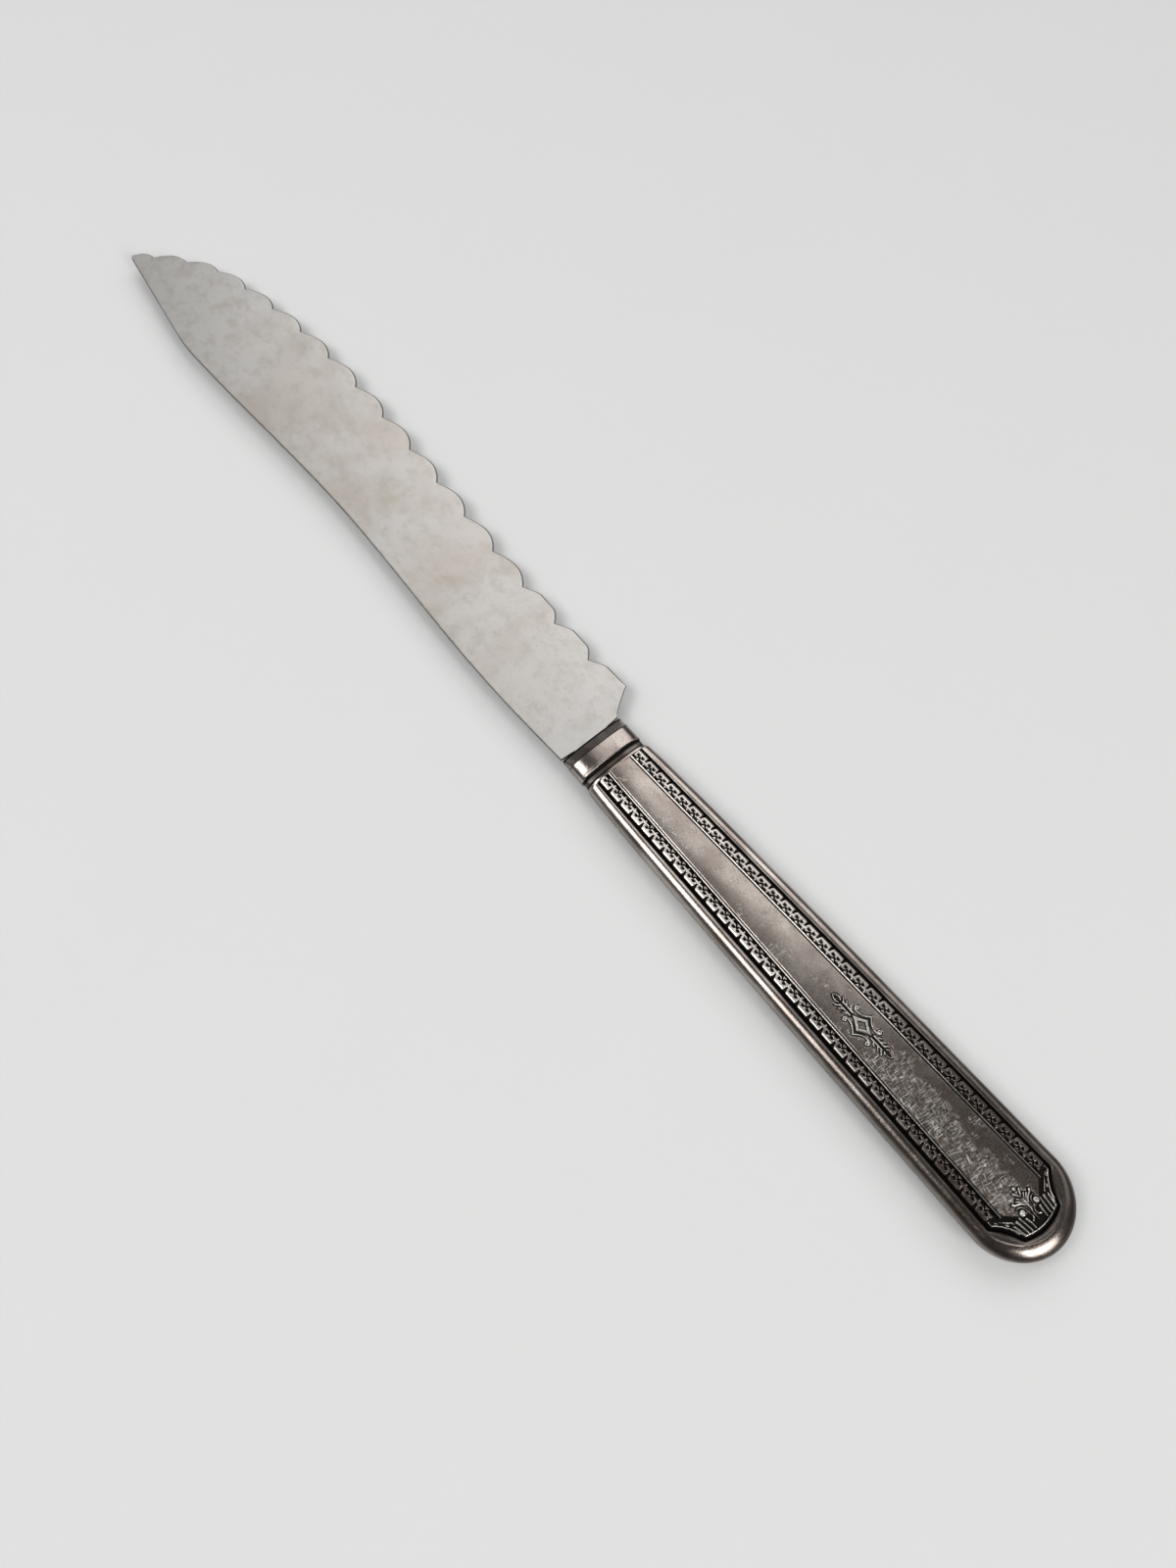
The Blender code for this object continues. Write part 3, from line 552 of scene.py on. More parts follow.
def half_grid(settings, unit_steps):
    """Points and tarnish, with painted shade and highlight, of the outer face on one side, from the seam
    row to the axis row.

    The third result tells which points lie under the medallion or the spray, where the mesh is cut finer.
    """
    outer, edge = stations(unit_steps, settings.border_pitch / MM)
    count = len(outer)
    reach = np.hypot(*(outer - edge).T)
    columns = []
    tarnish_and_painted_light = []
    heights = []
    roll = mix(*ROLL_WIDTH, ease(END_CENTRE, HANDLE_LENGTH, outer[:, 0]))
    for out, height, dark in rim_rows(reach, roll):
        columns.append(edge + (outer - edge) * (out / reach)[:, None])
        heights.append(np.broadcast_to(height, count))
        tarnish_and_painted_light.append(np.full(count, dark))
    end = FRAME_EDGE - BEAD_REACH[0]
    start = FRAME_EDGE + BEAD_REACH[1]
    border = np.linspace(0, end, BORDER_ROWS, endpoint=False)
    bead = np.linspace(end, start, BEAD_ROWS, endpoint=False)
    side = edge[:, 1:] - np.concatenate((border, bead))[None, :]
    panel = (edge[:, 1:] - start) * np.linspace(1, 0, PANEL_ROWS)[None, :]
    offsets = np.concatenate((side, panel), axis=1)
    first_end = count - END_STATIONS
    offsets[first_end:] = edge[first_end:, 1:] * offsets[first_end] / edge[first_end, 1]
    x = np.repeat(edge[:, :1], offsets.shape[1], axis=1)
    height, dark = surface(x.ravel() + SHOULDER, offsets.ravel(), settings)
    inner = np.stack((x, offsets, height.reshape(x.shape)), axis=-1)
    rim = np.stack([np.column_stack((*plan.T, up)) for plan, up in zip(columns, heights)], axis=1)
    points = np.concatenate((rim, inner), axis=1)
    dark = np.concatenate((np.stack(tarnish_and_painted_light, axis=1), dark.reshape(x.shape)), axis=1)

    # Collar, cove and land in place of the frame
    distance = edge[:, :1]
    height, indent, collar_dark = collar_profile(distance)
    points[:, :, 1] *= indent
    half = half_width(distance) * indent
    plain = 1 - ease(BORDER_START - BORDER_EDGE, BORDER_START + BORDER_EDGE, distance)
    oval = oval_height(points[:, :, 1] / half, height, COLLAR_SQUARENESS)
    points[:, :, 2] = mix(points[:, :, 2], oval, plain)
    dark = mix(dark, collar_dark, plain)

    along = points[:, :, 0] + SHOULDER
    on_medallion = np.abs(along - MEDALLION_CENTRE) < MEDALLION_SIZE[0]
    on_medallion &= points[:, :, 1] < MEDALLION_SIZE[1]
    fine = on_medallion | (along > SPRAY_LEAVES)
    fine[:, :-PANEL_ROWS] = False
    return points, dark, fine


def hollow_grid(settings, unit_steps):
    """Points of the inner face on one side, from the seam row towards the roof."""
    edge = stations(unit_steps, settings.border_pitch / MM)[1]
    distance = edge[:, 0]
    in_lip = distance < LIP_LENGTH
    half = np.where(in_lip, SLOT_SIZE[0], half_width(distance) - SHEET - COVE_INDENT)
    collar_roof = COLLAR_HEIGHT - COVE_DEPTH - SHEET
    roof = np.where(distance < BORDER_START, collar_roof, HOLLOW_ROOF)
    roof = np.where(in_lip, SLOT_SIZE[1], roof)
    squareness = np.where(in_lip, SLOT_SQUARENESS, COLLAR_SQUARENESS)
    first_end = len(distance) - END_STATIONS
    turn = np.linspace(0, math.pi / 2, END_STATIONS)
    rows = []
    for share in HOLLOW_SHARES:
        offset = half * share
        along = distance.copy()
        radius = offset[first_end]
        along[first_end:] = END_CENTRE + radius * np.sin(turn)
        offset[first_end:] = radius * np.cos(turn)
        rows.append(np.stack((along, offset, oval_height(share, roof, squareness)), axis=1))
    return np.stack(rows, axis=1)


def cut_finer(shell, fine, facing, settings):
    """Cuts the faces between chosen vertices finer, and lays the new vertices on the stamped surface."""
    edges = [edge for edge in shell.edges if all(fine[vert.index] for vert in edge.verts)]
    cut = bmesh.ops.subdivide_edges(shell, edges=edges, cuts=FINE_CUTS, use_grid_fill=True)
    added = [part for part in cut["geom_inner"] if isinstance(part, bmesh.types.BMVert)]
    places = np.array([vert.co.xy for vert in added]) / MM
    heights, tarnish_and_painted_light = surface(places[:, 0], places[:, 1], settings)
    layer = shell.verts.layers.float["tarnish_and_painted_light"]
    for vert, height, dark in zip(added, heights, tarnish_and_painted_light):
        vert.co.z = (PANEL + facing * height) * MM
        vert[layer] = dark


def build_shell(name, facing, unit_steps, settings):
    """One closed half of the stamped handle; facing is 1 for the front and -1 for the back."""
    outer, dark, fine = half_grid(settings, unit_steps)
    inner = hollow_grid(settings, unit_steps)
    other = np.array((1, -1, 1))
    rings = np.concatenate((outer, outer[:, -2::-1] * other, inner * other, inner[:, ::-1]), axis=1)
    inside = np.ones((len(inner), 2 * inner.shape[1]))
    tarnish_and_painted_light = np.concatenate((dark, dark[:, -2::-1], inside), axis=1)
    fine = np.concatenate((fine, fine[:, -2::-1], inside < 0), axis=1)
    rows = rings.shape[1]
    places = rings.reshape(-1, 3).copy()
    places[:, 0] += SHOULDER
    places[:, 2] = PANEL + facing * np.maximum(places[:, 2], SEAM_GAP)
    start = np.arange(len(rings) - 1)[:, None] * rows + np.arange(rows)[None, :]
    step = np.arange(len(rings) - 1)[:, None] * rows + (np.arange(rows)[None, :] + 1) % rows
    faces = np.stack((start, step, step + rows, start + rows), axis=-1).reshape(-1, 4).tolist()
    faces.append(list(range(rows)))
    mesh = bpy.data.meshes.new(name)
    mesh.from_pydata((places * MM).tolist(), [], faces)
    layer = mesh.attributes.new("tarnish_and_painted_light", "FLOAT", "POINT")
    layer.data.foreach_set("value", tarnish_and_painted_light.ravel().astype(np.float32))
    shell = bmesh.new()
    shell.from_mesh(mesh)
    cut_finer(shell, fine.ravel().tolist(), facing, settings)
    on_axis = [vert for vert in shell.verts if abs(vert.co.y) < WELD]
    bmesh.ops.remove_doubles(shell, verts=on_axis, dist=WELD)
    bmesh.ops.triangulate(shell, faces=[face for face in shell.faces if len(face.verts) > 4])
    bmesh.ops.recalc_face_normals(shell, faces=shell.faces)
    shell.to_mesh(mesh)
    shell.free()
    mesh.shade_smooth()
    mesh.set_sharp_from_angle(angle=math.radians(SHELL_CREASE))
    piece = bpy.data.objects.new(name, mesh)
    bpy.context.scene.collection.objects.link(piece)
    return piece


# Blade

HEEL_LENGTH = 5.1  # plain stretch before the ground edge
FLAT_HEIGHT = 0.45  # points of the frame's blade this far from its middle lie on its flat faces
EDGE_HEIGHT = 0.2  # and points nearer to the middle than this lie on its edge
PLACE_MATCH = 0.02  # points this near to each other along the blade count as one section
# Upper half of a section: distance in from the back or the edge, height over the middle, and painted
# shade
BACK_PROFILE = ((0, 0.3, 1), (0.04, 0.44, 0.9), (0.14, 0.5, 0.3), (0.3, 0.5, 0))
EDGE_PROFILE = ((0.75, 0.5, 0), (0.5, 0.49, 0), (0.3, 0.4, 0.3), (0.12, 0.24, 0.9), (0, 0.05, 1))
PLAIN_PROFILE = ((0.75, 0.5, 0), (0.3, 0.5, 0), (0.14, 0.5, 0.4), (0.04, 0.44, 0.9), (0, 0.3, 1))
SLIM_WIDTH = 3.3  # a narrower section, at the tip, has its profiles drawn in


def blade_outline():
    """Places along the blade and its tang, with the offsets of back and edge, as the frame has them."""
    corners = np.array([vertex.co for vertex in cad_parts["blade"].data.vertices]) / MM
    x, y = corners[:, 0], corners[:, 1]
    height = np.abs(corners[:, 2] - PANEL)
    plain = x > SHOULDER - HEEL_LENGTH
    sides = []
    on_back = (y < 0) & (height > FLAT_HEIGHT)
    on_edge = np.where(plain, y > 0, height < EDGE_HEIGHT)
    for chosen, outermost in ((on_back, np.min), (on_edge, np.max)):
        places = np.unique(x[chosen].round(2))
        offsets = [outermost(y[chosen & (np.abs(x - place) < PLACE_MATCH)]) for place in places]
        sides.append((places, offsets))
    along = np.union1d(sides[0][0], sides[1][0])
    back, edge = (np.interp(along, *side) for side in sides)
    return zip(along, back, edge)


def build_blade():
    """Blade and tang in one piece, with a rounded back and a ground, scalloped edge."""
    rings = []
    edge_shade = []
    for x, back, edge in blade_outline():
        fit = min(1, (edge - back) / SLIM_WIDTH)
        profile = EDGE_PROFILE if x < SHOULDER - HEEL_LENGTH else PLAIN_PROFILE
        upper = [(back + inset * fit, height) for inset, height, darkening in BACK_PROFILE]
        upper += [(edge - inset * fit, height) for inset, height, darkening in profile]
        rings.append([(x, y, PANEL + z) for y, z in upper + [(y, -z) for y, z in reversed(upper)]])
        dark = [darkening for inset, height, darkening in BACK_PROFILE + profile]
        edge_shade += dark + dark[::-1]
    size = len(rings[0])
    last = (len(rings) - 1) * size
    faces = []
    for start in range(0, last, size):
        for row in range(size):
            beside = (row + 1) % size
            faces.append((start + row, start + size + row, start + size + beside, start + beside))
    faces += [tuple(range(size)), tuple(range(last + size - 1, last - 1, -1))]
    points = [tuple(part * MM for part in point) for ring in rings for point in ring]
    mesh = bpy.data.meshes.new("scalloped_blade")
    mesh.from_pydata(points, [], faces)
    # painted shade: a dark line along the edge and the back
    mesh.attributes.new("edge_shade", "FLOAT", "POINT").data.foreach_set("value", edge_shade)
    blade = bmesh.new()
    blade.from_mesh(mesh)
    bmesh.ops.recalc_face_normals(blade, faces=blade.faces)
    blade.to_mesh(mesh)
    blade.free()
    mesh.shade_smooth()
    mesh.set_sharp_from_angle(angle=math.radians(BLADE_CREASE))
    piece = bpy.data.objects.new("scalloped_blade", mesh)
    bpy.context.scene.collection.objects.link(piece)
    return piece


# Materials

# Stretches over which a finish comes in, in metres along the knife or, for the near side, across it
SATIN_EDGE = 0.0005
NEAR_SIDE = (0.003, -0.001)
SCUFFED_FROM = (0.002, 0.026)
DARKER_FROM = (-0.04, 0.045)
DULL_PANEL_FROM = (-0.035, 0.005)
DULL_TOPS_FROM = (0.0, 0.045)
STAINED_FROM = (-0.205, -0.165)
STAINED_TO = (-0.062, -0.10)
SPECKED_FROM = (-0.13, -0.085)

# Levels of a noise or of the tarnish between which a finish shows
PLATE_CLOUD = (0.34, 0.66)
SCUFFS = (0.54, 0.70)
DARKER_LEVELS = (0.0, 0.9)
PITS = (0.60, 0.74)
SPECKLE = (0.45, 0.75)
BRIGHT_TOPS = (-0.1, -0.7)
BLACK_PATINA_AND_SHADE = (0.15, 0.8)
WARM_BLOOM = (0.36, 0.66)
WATER_STAIN = (0.46, 0.70)
MOTTLE = (0.44, 0.68)
SPECKS = (0.62, 0.76)

# How strongly a finish shows
PIT_SHARE = 0.55
SPECKLE_SHARE = 0.5
SCUFF_SPREAD = 0.22  # how far the scuffed stretch adds to its noise
SCRATCH_SHARE = (0.96, 0.04)  # share of the scratches seen in the scuffs, and all over
DARKER_SHARE = (0.8, -0.1)  # rise of the darkening along the handle, and its start
DARKER_PATCHES = 0.9
DULL_PANEL_SHARE = 0.13
DULL_TOPS_SHARE = 0.3
TARNISH_CLOUD = 0.4  # how far the cloud shifts the tarnish
MOTTLE_SHARE = 0.6
SPECK_SHARE = 0.5
STEEL_GRAIN_SHARE = 0.2
EDGE_SHADE_SHARE = 0.85
PLATE_GLOSS_SPREAD = 0.12
STEEL_GLOSS_SPREAD = 0.16
MARKED_ROUGHNESS = 0.3  # added in patina and scratches
SCRATCH_DEPTH = -5.0  # beside the grain of the plate
GROUND_SHADE = 0.985  # darkest part of the floor beside its colour


def add_node(tree, kind, *inputs, **settings):
    """A shader node with its inputs in order: a socket is linked, None is left, and a value is set."""
    node = tree.nodes.new("ShaderNode" + kind)
    for key, value in settings.items():
        setattr(node, key, value)
    for socket, value in zip(node.inputs, inputs):
        if isinstance(value, bpy.types.NodeSocket):
            tree.links.new(value, socket)
        elif value is not None:
            socket.default_value = value
    return node


def math_node(tree, operation, *inputs):
    return add_node(tree, "Math", *inputs, operation=operation).outputs[0]


def product(tree, first, second):
    return math_node(tree, "MULTIPLY", first, second)


def scaled_sum(tree, value, scale, added):
    """A value times a scale, with something added."""
    return math_node(tree, "MULTIPLY_ADD", value, scale, added)


def blend_colour(tree, share, first, second):
    """Mix of two colours by a share, as a colour socket."""
    node = tree.nodes.new("ShaderNodeMix")
    node.data_type = "RGBA"
    for socket, value in ((node.inputs[0], share), (node.inputs[6], first), (node.inputs[7], second)):
        if isinstance(value, bpy.types.NodeSocket):
            tree.links.new(value, socket)
        else:
            socket.default_value = value if isinstance(value, float) else (*value[:3], 1)
    return node.outputs[2]


def noise(tree, place, scale, stretch=(1, 1, 1), detail=4.0, roughness=0.55):
    """Noise between 0 and 1 with its features a given number to the metre, stretched along the axes."""
    scales = tuple(scale * part for part in stretch)
    vector = add_node(tree, "Mapping", place, None, None, scales).outputs[0]
    node = tree.nodes.new("ShaderNodeTexNoise")
    tree.links.new(vector, node.inputs["Vector"])
    node.inputs["Scale"].default_value = 1
    node.inputs["Detail"].default_value = detail
    node.inputs["Roughness"].default_value = roughness
    return node.outputs[0]


def between(tree, value, low, high):
    """Smooth step of a value from 0 at low to 1 at high."""
    node = add_node(tree, "MapRange", value, low, high, interpolation_type="SMOOTHSTEP")
    return node.outputs[0]


def new_material(name):
    """Material, its node tree, its shader and the place on the object in metres."""
    material = bpy.data.materials.new(name)
    material.use_nodes = True
    tree = material.node_tree
    shader = tree.nodes["Principled BSDF"]
    place = tree.nodes.new("ShaderNodeTexCoord").outputs["Object"]
    return material, tree, shader, place


def bump(tree, shader, height, distance, strength=1.0):
    node = tree.nodes.new("ShaderNodeBump")
    node.inputs["Strength"].default_value = strength
    node.inputs["Distance"].default_value = distance
    tree.links.new(height, node.inputs["Height"])
    tree.links.new(node.outputs[0], shader.inputs["Normal"])


def scratches(tree, place, turn, scale, low, high):
    """Thin straight marks across the handle, turned by an angle in degrees about its face."""
    turned = add_node(tree, "Mapping", place, None, (0, 0, math.radians(turn))).outputs[0]
    streaks = noise(tree, turned, scale, stretch=(6.0, 0.45, 1), detail=2.0)
    return between(tree, streaks, low, high)


def tarnished_plate(settings):
    """Worn silver plate, brown with age, with black patina and painted shade where the tarnish of the
    mesh is high, and bright polish and painted highlight where it is low.
    """
    material, tree, shader, place = new_material("tarnished_plate")
    tarnish_and_light_fac = add_node(tree, "Attribute", attribute_name="tarnish_and_painted_light").outputs["Fac"]
    along, across = add_node(tree, "SeparateXYZ", place).outputs[:2]
    cloud = noise(tree, place, scale=170, stretch=(0.6, 1, 1), detail=5.0)
    grain = noise(tree, place, scale=5200, stretch=(0.5, 1, 1), detail=3.0)
    patch = noise(tree, place, scale=420, stretch=(0.7, 1, 1))

    # Satin panel, inside the bead lines, scuffed on its near side towards the butt
    spread = (BEAD_AT_BUTT - BEAD_AT_COLLAR) / (END_CENTRE - BORDER_START)
    middle = (BEAD_AT_COLLAR - spread * (SHOULDER + BORDER_START)) * MM
    bead = scaled_sum(tree, along, spread, middle)
    inside = math_node(tree, "SUBTRACT", bead, math_node(tree, "ABSOLUTE", across))
    before_end = between(tree, along, PANEL_END * MM, PANEL_END * MM - SATIN_EDGE)
    satin = product(tree, between(tree, inside, 0.0, SATIN_EDGE), before_end)
    zone = product(tree, between(tree, across, *NEAR_SIDE), between(tree, along, *SCUFFED_FROM))
    scuffed = between(tree, scaled_sum(tree, zone, SCUFF_SPREAD, patch), *SCUFFS)
    scuffed = product(tree, scuffed, satin)
    crosswise = scratches(tree, place, turn=8, scale=1500, low=0.55, high=0.68)
    lengthwise = scratches(tree, place, turn=-74, scale=1200, low=0.58, high=0.70)
    marks = math_node(tree, "MAXIMUM", crosswise, lengthwise)
    wear_and_shine = product(tree, marks, scaled_sum(tree, scuffed, *SCRATCH_SHARE))

    # Plate that is browner towards the butt, with pits, scratches and a fine speckle
    clouded = between(tree, cloud, *PLATE_CLOUD)
    tone = blend_colour(tree, clouded, settings.plate_colour, settings.stain_colour)
    darkening_share = scaled_sum(tree, between(tree, along, *DARKER_FROM), *DARKER_SHARE)
    darkening_share = scaled_sum(tree, math_node(tree, "SUBTRACT", patch, 0.5), DARKER_PATCHES, darkening_share)
    dull_panel = product(tree, satin, between(tree, along, *DULL_PANEL_FROM))
    darkening_share = scaled_sum(tree, dull_panel, DULL_PANEL_SHARE, darkening_share)
    tone = blend_colour(tree, between(tree, darkening_share, *DARKER_LEVELS), tone, settings.darker_plate_colour)
    pitting = noise(tree, place, scale=2400, stretch=(0.6, 1, 1), detail=3.0, roughness=0.6)
    pits = product(tree, between(tree, pitting, *PITS), PIT_SHARE)
    tone = blend_colour(tree, pits, tone, settings.patina_colour)
    tone = blend_colour(tree, wear_and_shine, tone, settings.worn_and_highlight_colour)
    speckle = product(tree, between(tree, grain, *SPECKLE), SPECKLE_SHARE)
    tone = blend_colour(tree, speckle, tone, settings.stain_colour)

    # Bright tops, less so towards the butt, with painted highlight on the medallion and leaves, and black
    # recesses with painted shade
    shift = product(tree, math_node(tree, "SUBTRACT", cloud, 0.5), TARNISH_CLOUD)
    dulled = scaled_sum(tree, between(tree, along, *DULL_TOPS_FROM), DULL_TOPS_SHARE, shift)
    polish_and_highlight = between(tree, math_node(tree, "ADD", tarnish_and_light_fac, dulled), *BRIGHT_TOPS)
    # bright polish of the tops; on the medallion and the leaves it is also their painted highlight
    tone = blend_colour(tree, polish_and_highlight, tone, settings.worn_and_highlight_colour)
    dark = between(tree, math_node(tree, "ADD", tarnish_and_light_fac, shift), *BLACK_PATINA_AND_SHADE)
    colour = blend_colour(tree, dark, tone, settings.patina_colour)
    tree.links.new(colour, shader.inputs["Base Color"])

    smoothest = settings.plate_roughness - PLATE_GLOSS_SPREAD / 2
    rough = scaled_sum(tree, grain, PLATE_GLOSS_SPREAD, smoothest)
    rough = scaled_sum(tree, satin, settings.satin_roughness - settings.plate_roughness, rough)
    rough = scaled_sum(tree, math_node(tree, "MAXIMUM", dark, wear_and_shine), MARKED_ROUGHNESS, rough)
    tree.links.new(rough, shader.inputs["Roughness"])
    shader.inputs["Metallic"].default_value = 1
    bump(tree, shader, scaled_sum(tree, wear_and_shine, SCRATCH_DEPTH, grain), distance=0.000012, strength=0.8)
    return material


def satin_steel(settings):
    """Satin blade steel with warm water stains in the middle and fine specks near the heel."""
    material, tree, shader, place = new_material("satin_steel")
    along = add_node(tree, "SeparateXYZ", place).outputs[0]
    middle = product(tree, between(tree, along, *STAINED_FROM), between(tree, along, *STAINED_TO))
    heel = between(tree, along, *SPECKED_FROM)
    stain = noise(tree, place, scale=85, stretch=(0.8, 1, 1), detail=8.0, roughness=0.66)
    cloud = noise(tree, place, scale=42, stretch=(1, 0.9, 1))
    grain = noise(tree, place, scale=3800, detail=2.0)
    speck = noise(tree, place, scale=1300, detail=2.0)
    patch = noise(tree, place, scale=360, stretch=(0.8, 1, 1), detail=7.0, roughness=0.7)
    warm = product(tree, between(tree, cloud, *WARM_BLOOM), middle)
    colour = blend_colour(tree, warm, settings.steel_colour, settings.warm_colour)
    stained = product(tree, between(tree, stain, *WATER_STAIN), middle)
    colour = blend_colour(tree, stained, colour, settings.stain_colour)
    mottle = product(tree, between(tree, patch, *MOTTLE), MOTTLE_SHARE)
    colour = blend_colour(tree, mottle, colour, settings.mottle_colour)
    specks = product(tree, between(tree, speck, *SPECKS), product(tree, heel, SPECK_SHARE))
    colour = blend_colour(tree, specks, colour, settings.speck_colour)
    colour = blend_colour(tree, product(tree, grain, STEEL_GRAIN_SHARE), colour, settings.speck_colour)
    # painted shade darkens the steel along the edge and the back
    edge_shade = add_node(tree, "Attribute", attribute_name="edge_shade").outputs["Fac"]
    colour = blend_colour(tree, product(tree, edge_shade, EDGE_SHADE_SHARE), colour, settings.edge_shade_colour)
    tree.links.new(colour, shader.inputs["Base Color"])
    shader.inputs["Metallic"].default_value = 1
    smoothest = settings.steel_roughness - STEEL_GLOSS_SPREAD / 2
    rough = scaled_sum(tree, stain, STEEL_GLOSS_SPREAD, smoothest)
    tree.links.new(rough, shader.inputs["Roughness"])
    bump(tree, shader, grain, distance=0.000006, strength=0.5)
    return material


def dull_solder(settings):
    """Grey solder, dull and a little uneven."""
    material, tree, shader, place = new_material("dull_solder")
    lump = noise(tree, place, scale=900)
    colour = blend_colour(tree, lump, settings.solder_colour, settings.patina_colour)
    tree.links.new(colour, shader.inputs["Base Color"])
    shader.inputs["Metallic"].default_value = 1
    shader.inputs["Roughness"].default_value = 0.5
    bump(tree, shader, lump, distance=0.00003)
    return material


def pitch_cement(settings):
    """Brown filling cement, matt and grainy."""
    material, tree, shader, place = new_material("pitch_cement")
    grit = noise(tree, place, scale=1200)
    colour = blend_colour(tree, grit, settings.cement_colour, settings.grit_colour)
    tree.links.new(colour, shader.inputs["Base Color"])
    shader.inputs["Roughness"].default_value = 0.8
    bump(tree, shader, grit, distance=0.00005)
    return material


def pale_ground(settings):
    """Plain pale ground with a faint unevenness."""
    material, tree, shader, place = new_material("pale_ground")
    cloud = noise(tree, place, scale=30)
    darker = tuple(part * GROUND_SHADE for part in settings.floor_colour)
    colour = blend_colour(tree, cloud, settings.floor_colour, darker)
    tree.links.new(colour, shader.inputs["Base Color"])
    shader.inputs["Roughness"].default_value = 0.9
    shader.inputs["Specular IOR Level"].default_value = 0.1
    return material


def dress(node, material):
    """Gives a CAD node one material."""
    node.data.materials.clear()
    node.data.materials.append(material)


# Settings

def colour_property(name, description, default):
    return FloatVectorProperty(
        name=name, description=description, default=default, subtype="COLOR", size=3, min=0, max=1)


def length_property(name, description, default):
    return FloatProperty(name=name, description=description, default=default, unit="LENGTH", precision=5)


def fineness_property(name, description, default):
    return IntProperty(name=name, description=description, default=default, min=8)


def roughness_property(name, description, default):
    return FloatProperty(
        name=name, description=description, default=default, min=0.1, max=1, subtype="FACTOR")


def direction_property(name, description, default):
    return FloatVectorProperty(name=name, description=description, default=default, subtype="DIRECTION")


class HandleSettings(bpy.types.PropertyGroup):
    """Sizes and finish of the stamped handle."""

    border_pitch: length_property("Border pitch", "Length of one scroll unit", 0.00309)
    panel_crown: length_property("Panel crown", "Fall of the panel towards its beads", 0.00020)
    medallion_relief: length_property("Medallion relief", "Height of the medallion's strands", 0.00016)
    front_steps: fineness_property("Front fineness", "Mesh steps to a border unit on the front", 32)
    back_steps: fineness_property("Back fineness", "Mesh steps to a border unit on the back", 20)
    plate_roughness: roughness_property("Plate roughness", "Gloss of the worn plate", 0.19)
    satin_roughness: roughness_property("Panel roughness", "Gloss of the satin panel", 0.27)
    plate_colour: colour_property("Plate", "Dulled silver plate", (0.47, 0.42, 0.382))
    stain_colour: colour_property("Tarnish", "Brown tarnish on the plate", (0.28, 0.236, 0.21))
    # darker plate towards the butt
    darker_plate_colour: colour_property("Old tarnish", "Dark tarnish towards the butt", (0.125, 0.105, 0.091))
    # bright silver of scratches and polished tops, also the colour of the painted highlight on the
    # medallion and leaves
    worn_and_highlight_colour: colour_property("Scratches", "Bright silver in the scratches", (0.78, 0.755, 0.71))
    patina_colour: colour_property("Patina", "Black patina in the recesses", (0.014, 0.012, 0.011))
    solder_colour: colour_property("Solder", "Solder in the seam", (0.30, 0.28, 0.26))
    cement_colour: colour_property("Cement", "Filling cement", (0.12, 0.07, 0.04))
    grit_colour: colour_property("Grit", "Dark grit in the cement", (0.02, 0.015, 0.01))


class BladeSettings(bpy.types.PropertyGroup):
    """Finish of the blade."""

    steel_roughness: roughness_property("Steel roughness", "Gloss of the satin steel", 0.42)
    steel_colour: colour_property("Steel", "Clean satin steel", (0.58, 0.565, 0.545))
    stain_colour: colour_property("Stain", "Beige water stains", (0.50, 0.455, 0.405))
    warm_colour: colour_property("Warm tint", "Warm bloom in the middle", (0.55, 0.505, 0.47))
    mottle_colour: colour_property("Mottle", "Fine uneven dulling", (0.44, 0.41, 0.36))
    speck_colour: colour_property("Specks", "Fine dark specks", (0.30, 0.28, 0.27))
    # colour of the painted shade along the edge and the back
    edge_shade_colour: colour_property("Grime", "Dark line along the edge and the back", (0.10, 0.092, 0.085))


class StageSettings(bpy.types.PropertyGroup):
    """Floor, lamps and camera."""

    floor_colour: colour_property("Floor", "Pale ground under the knife", (0.72, 0.72, 0.717))
    world_level: FloatProperty(name="World", description="Even light from all round", default=0.13)
    camera_place: FloatVectorProperty(
        name="Camera", description="Place of the camera", default=(0.01052, -0.06043, 0.2041),
        subtype="XYZ", unit="LENGTH")
    camera_aim: direction_property("Aim", "Direction of the camera's view", (-0.2960, 0.2476, -0.9225))
    camera_up: direction_property("Up", "Direction of the picture's top", (-0.7076, 0.5919, 0.3859))
    lens: FloatProperty(
        name="Lens", description="Focal length on a 36 mm sensor", default=25.605, unit="CAMERA")


class KnifeSettings(bpy.types.PropertyGroup):
    """All settings of the cake knife."""

    handle: PointerProperty(type=HandleSettings)
    blade: PointerProperty(type=BladeSettings)
    stage: PointerProperty(type=StageSettings)


# Operators

class KNIFE_OT_handle(bpy.types.Operator):
    """Build the two stamped shells of the handle"""

    bl_idname = "knife.handle"
    bl_label = "Stamped handle"

    def execute(self, context):
        settings = context.scene.cake_knife.handle
        plate = tarnished_plate(settings)
        halves = (("front", 1, settings.front_steps), ("back", -1, settings.back_steps))
        for side, facing, steps in halves:
            piece = build_shell(f"stamped_{side}", facing, steps, settings)
            piece.data.materials.append(plate)
            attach(piece, "root")
            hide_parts(f"{side}_shell")
        return {"FINISHED"}


class KNIFE_OT_joints(bpy.types.Operator):
    """Finish the solder in the seam and the cement round the tang"""

    bl_idname = "knife.joints"
    bl_label = "Solder and cement"

    def execute(self, context):
        settings = context.scene.cake_knife.handle
        dress(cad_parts["seam_solder"], dull_solder(settings))
        dress(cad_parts["tang_cement"], pitch_cement(settings))
        return {"FINISHED"}


class KNIFE_OT_blade(bpy.types.Operator):
    """Build the scalloped blade"""

    bl_idname = "knife.blade"
    bl_label = "Scalloped blade"

    def execute(self, context):
        settings = context.scene.cake_knife.blade
        piece = build_blade()
        piece.data.materials.append(satin_steel(settings))
        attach(piece, "root")
        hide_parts("blade")
        return {"FINISHED"}


